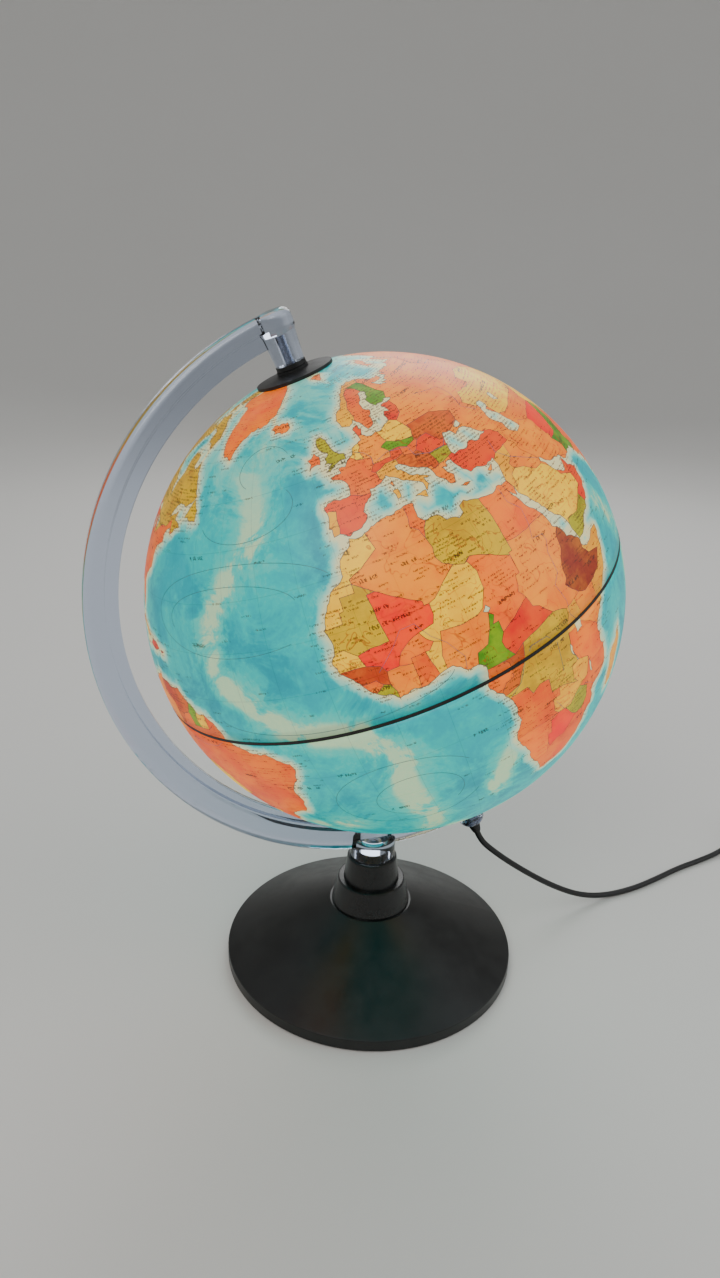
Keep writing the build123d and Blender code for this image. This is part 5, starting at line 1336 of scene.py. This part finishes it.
# ---------------------------------------------------------------- stage
def make_floor():
    """Pale floor that curves up into a wall all round."""
    material, tree, shader = new_material("pale_floor", Roughness=0.75)
    clouds = node(tree, "TexNoise", {"Scale": 6.0, "Detail": 3.0}).outputs[0]
    feed(tree, shader, Base_Color=mix(tree, clouds, "d3d2ce", "d8d7d4"))
    profile = [(0.02, 0.0), (0.6, 0.0), (1.4, 0.0), (STAGE_FLAT_R, 0.0)]
    for step in range(1, STAGE_RISE_STEPS + 1):
        turn = radians(90.0 * step / STAGE_RISE_STEPS)
        profile.append((STAGE_FLAT_R + STAGE_RISE_R * sin(turn), STAGE_RISE_R * (1 - cos(turn))))
    profile.append((STAGE_FLAT_R + STAGE_RISE_R, STAGE_RISE_R + STAGE_WALL))
    verts = [(radius * x, radius * y, z) for radius, z in profile for x, y in circle(STAGE_AROUND)]
    faces = ring_faces(len(profile), STAGE_AROUND, closed=False)
    faces.append(tuple(reversed(range(STAGE_AROUND))))
    new_object("floor", verts, faces, material)


def make_lights():
    """Soft studio light: an even world and three area lights."""
    world = bpy.data.worlds.new("studio")
    SCENE.world = world
    world.use_nodes = True
    background = world.node_tree.nodes["Background"].inputs
    background["Color"].default_value = WORLD_COLOUR
    background["Strength"].default_value = WORLD_STRENGTH
    lamps = [
        ("key_light", (-1.2, -1.3, 1.8), 1.3, 22.0, (1.0, 0.97, 0.93)),
        ("fill_light", (1.6, -0.9, 1.2), 1.6, 10.0, (0.92, 0.96, 1.0)),
        ("back_light", (0.7, 1.6, 1.6), 1.3, 18.0, (1.0, 1.0, 1.0)),
    ]
    for name, place, size, power, colour in lamps:
        light = bpy.data.lights.new(name, "AREA")
        light.size = size
        light.energy = power
        light.color = colour
        lamp = bpy.data.objects.new(name, light)
        turn = (LIGHTS_AIM - Vector(place)).to_track_quat("-Z", "Y").to_matrix().to_4x4()
        lamp.matrix_world = Matrix.Translation(place) @ turn
        SCENE.collection.objects.link(lamp)


# ---------------------------------------------------------------- pieces
def make_ball():
    """The printed ball: two shells, and the lines printed on them."""
    lines, land, water, countries = map_lines()
    drawn = clipped_chains(lines, land, water)
    make_map_halves(map_material(), drawn, land, water, countries)
    rivers = [dense(route, 1.5) for route in RIVERS.values()]
    prints = [
        ("coast", drawn["coast"], COAST_WIDTH, "5b4a38"),
        ("border", drawn["border"], BORDER_WIDTH, "6e2214"),
        ("river", rivers, FINE_WIDTH, "2c5c74"),
        ("current", current_arcs(), FINE_WIDTH, "2f5560"),
    ]
    for name, chains, width, code in prints:
        print_lines(f"map_{name}_print", chains, width, ink_material(f"{name}_ink", code))


def lathe(name, profile, start, direction, material, around=64):
    """A turned piece from (radius, height) points along an axis, closed into a ring."""
    aside = direction.orthogonal().normalized()
    other = direction.cross(aside)
    verts = []
    for radius, height in profile:
        foot = start + direction * height
        verts += [foot + (aside * x + other * y) * radius for x, y in circle(around)]
    turned = new_object(name, verts, ring_faces(len(profile), around, closed=True), material)
    face_outward(turned.data)
    return turned


def make_strain_relief(material):
    """Tapered rubber sleeve at the south pole, with grip grooves moulded round its free end."""
    # Radius, and distance from the ball's centre.
    profile = [
        (SLEEVE_BORE_R, 0.1840), (SLEEVE_PLUG_R, 0.1840), (SLEEVE_PLUG_R, 0.1950),
        (0.0045, 0.1950), (0.0048, 0.1953), (0.0048, 0.1966),
    ]
    pitch = (GROOVES_END - GROOVES_START) / GROOVES
    for groove in range(GROOVES):
        low = GROOVES_START + groove * pitch
        land = 0.0047 - 0.0015 * (groove / GROOVES)
        neck = land - GROOVE_DEPTH
        rise = pitch / 8
        profile += [
            (land, low), (land - 0.0001, low + 3 * rise), (neck, low + 4 * rise), (neck, low + 6 * rise),
        ]
    profile += [(0.0031, GROOVES_END), (0.0030, 0.2049), (SLEEVE_TIP_R, 0.2050), (SLEEVE_BORE_R, 0.2050)]
    sleeve = lathe("lead_strain_relief", profile, BALL_CENTRE, -NORTH, material)
    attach(sleeve, "stand")
    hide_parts("cord_strain_relief")
    return sleeve


make_camera()
looks = make_finishes()
finish_nodes(looks)
make_lead(looks["cord_rubber"], make_strain_relief(looks["cord_rubber"]))
make_ball()
make_floor()
make_lights()
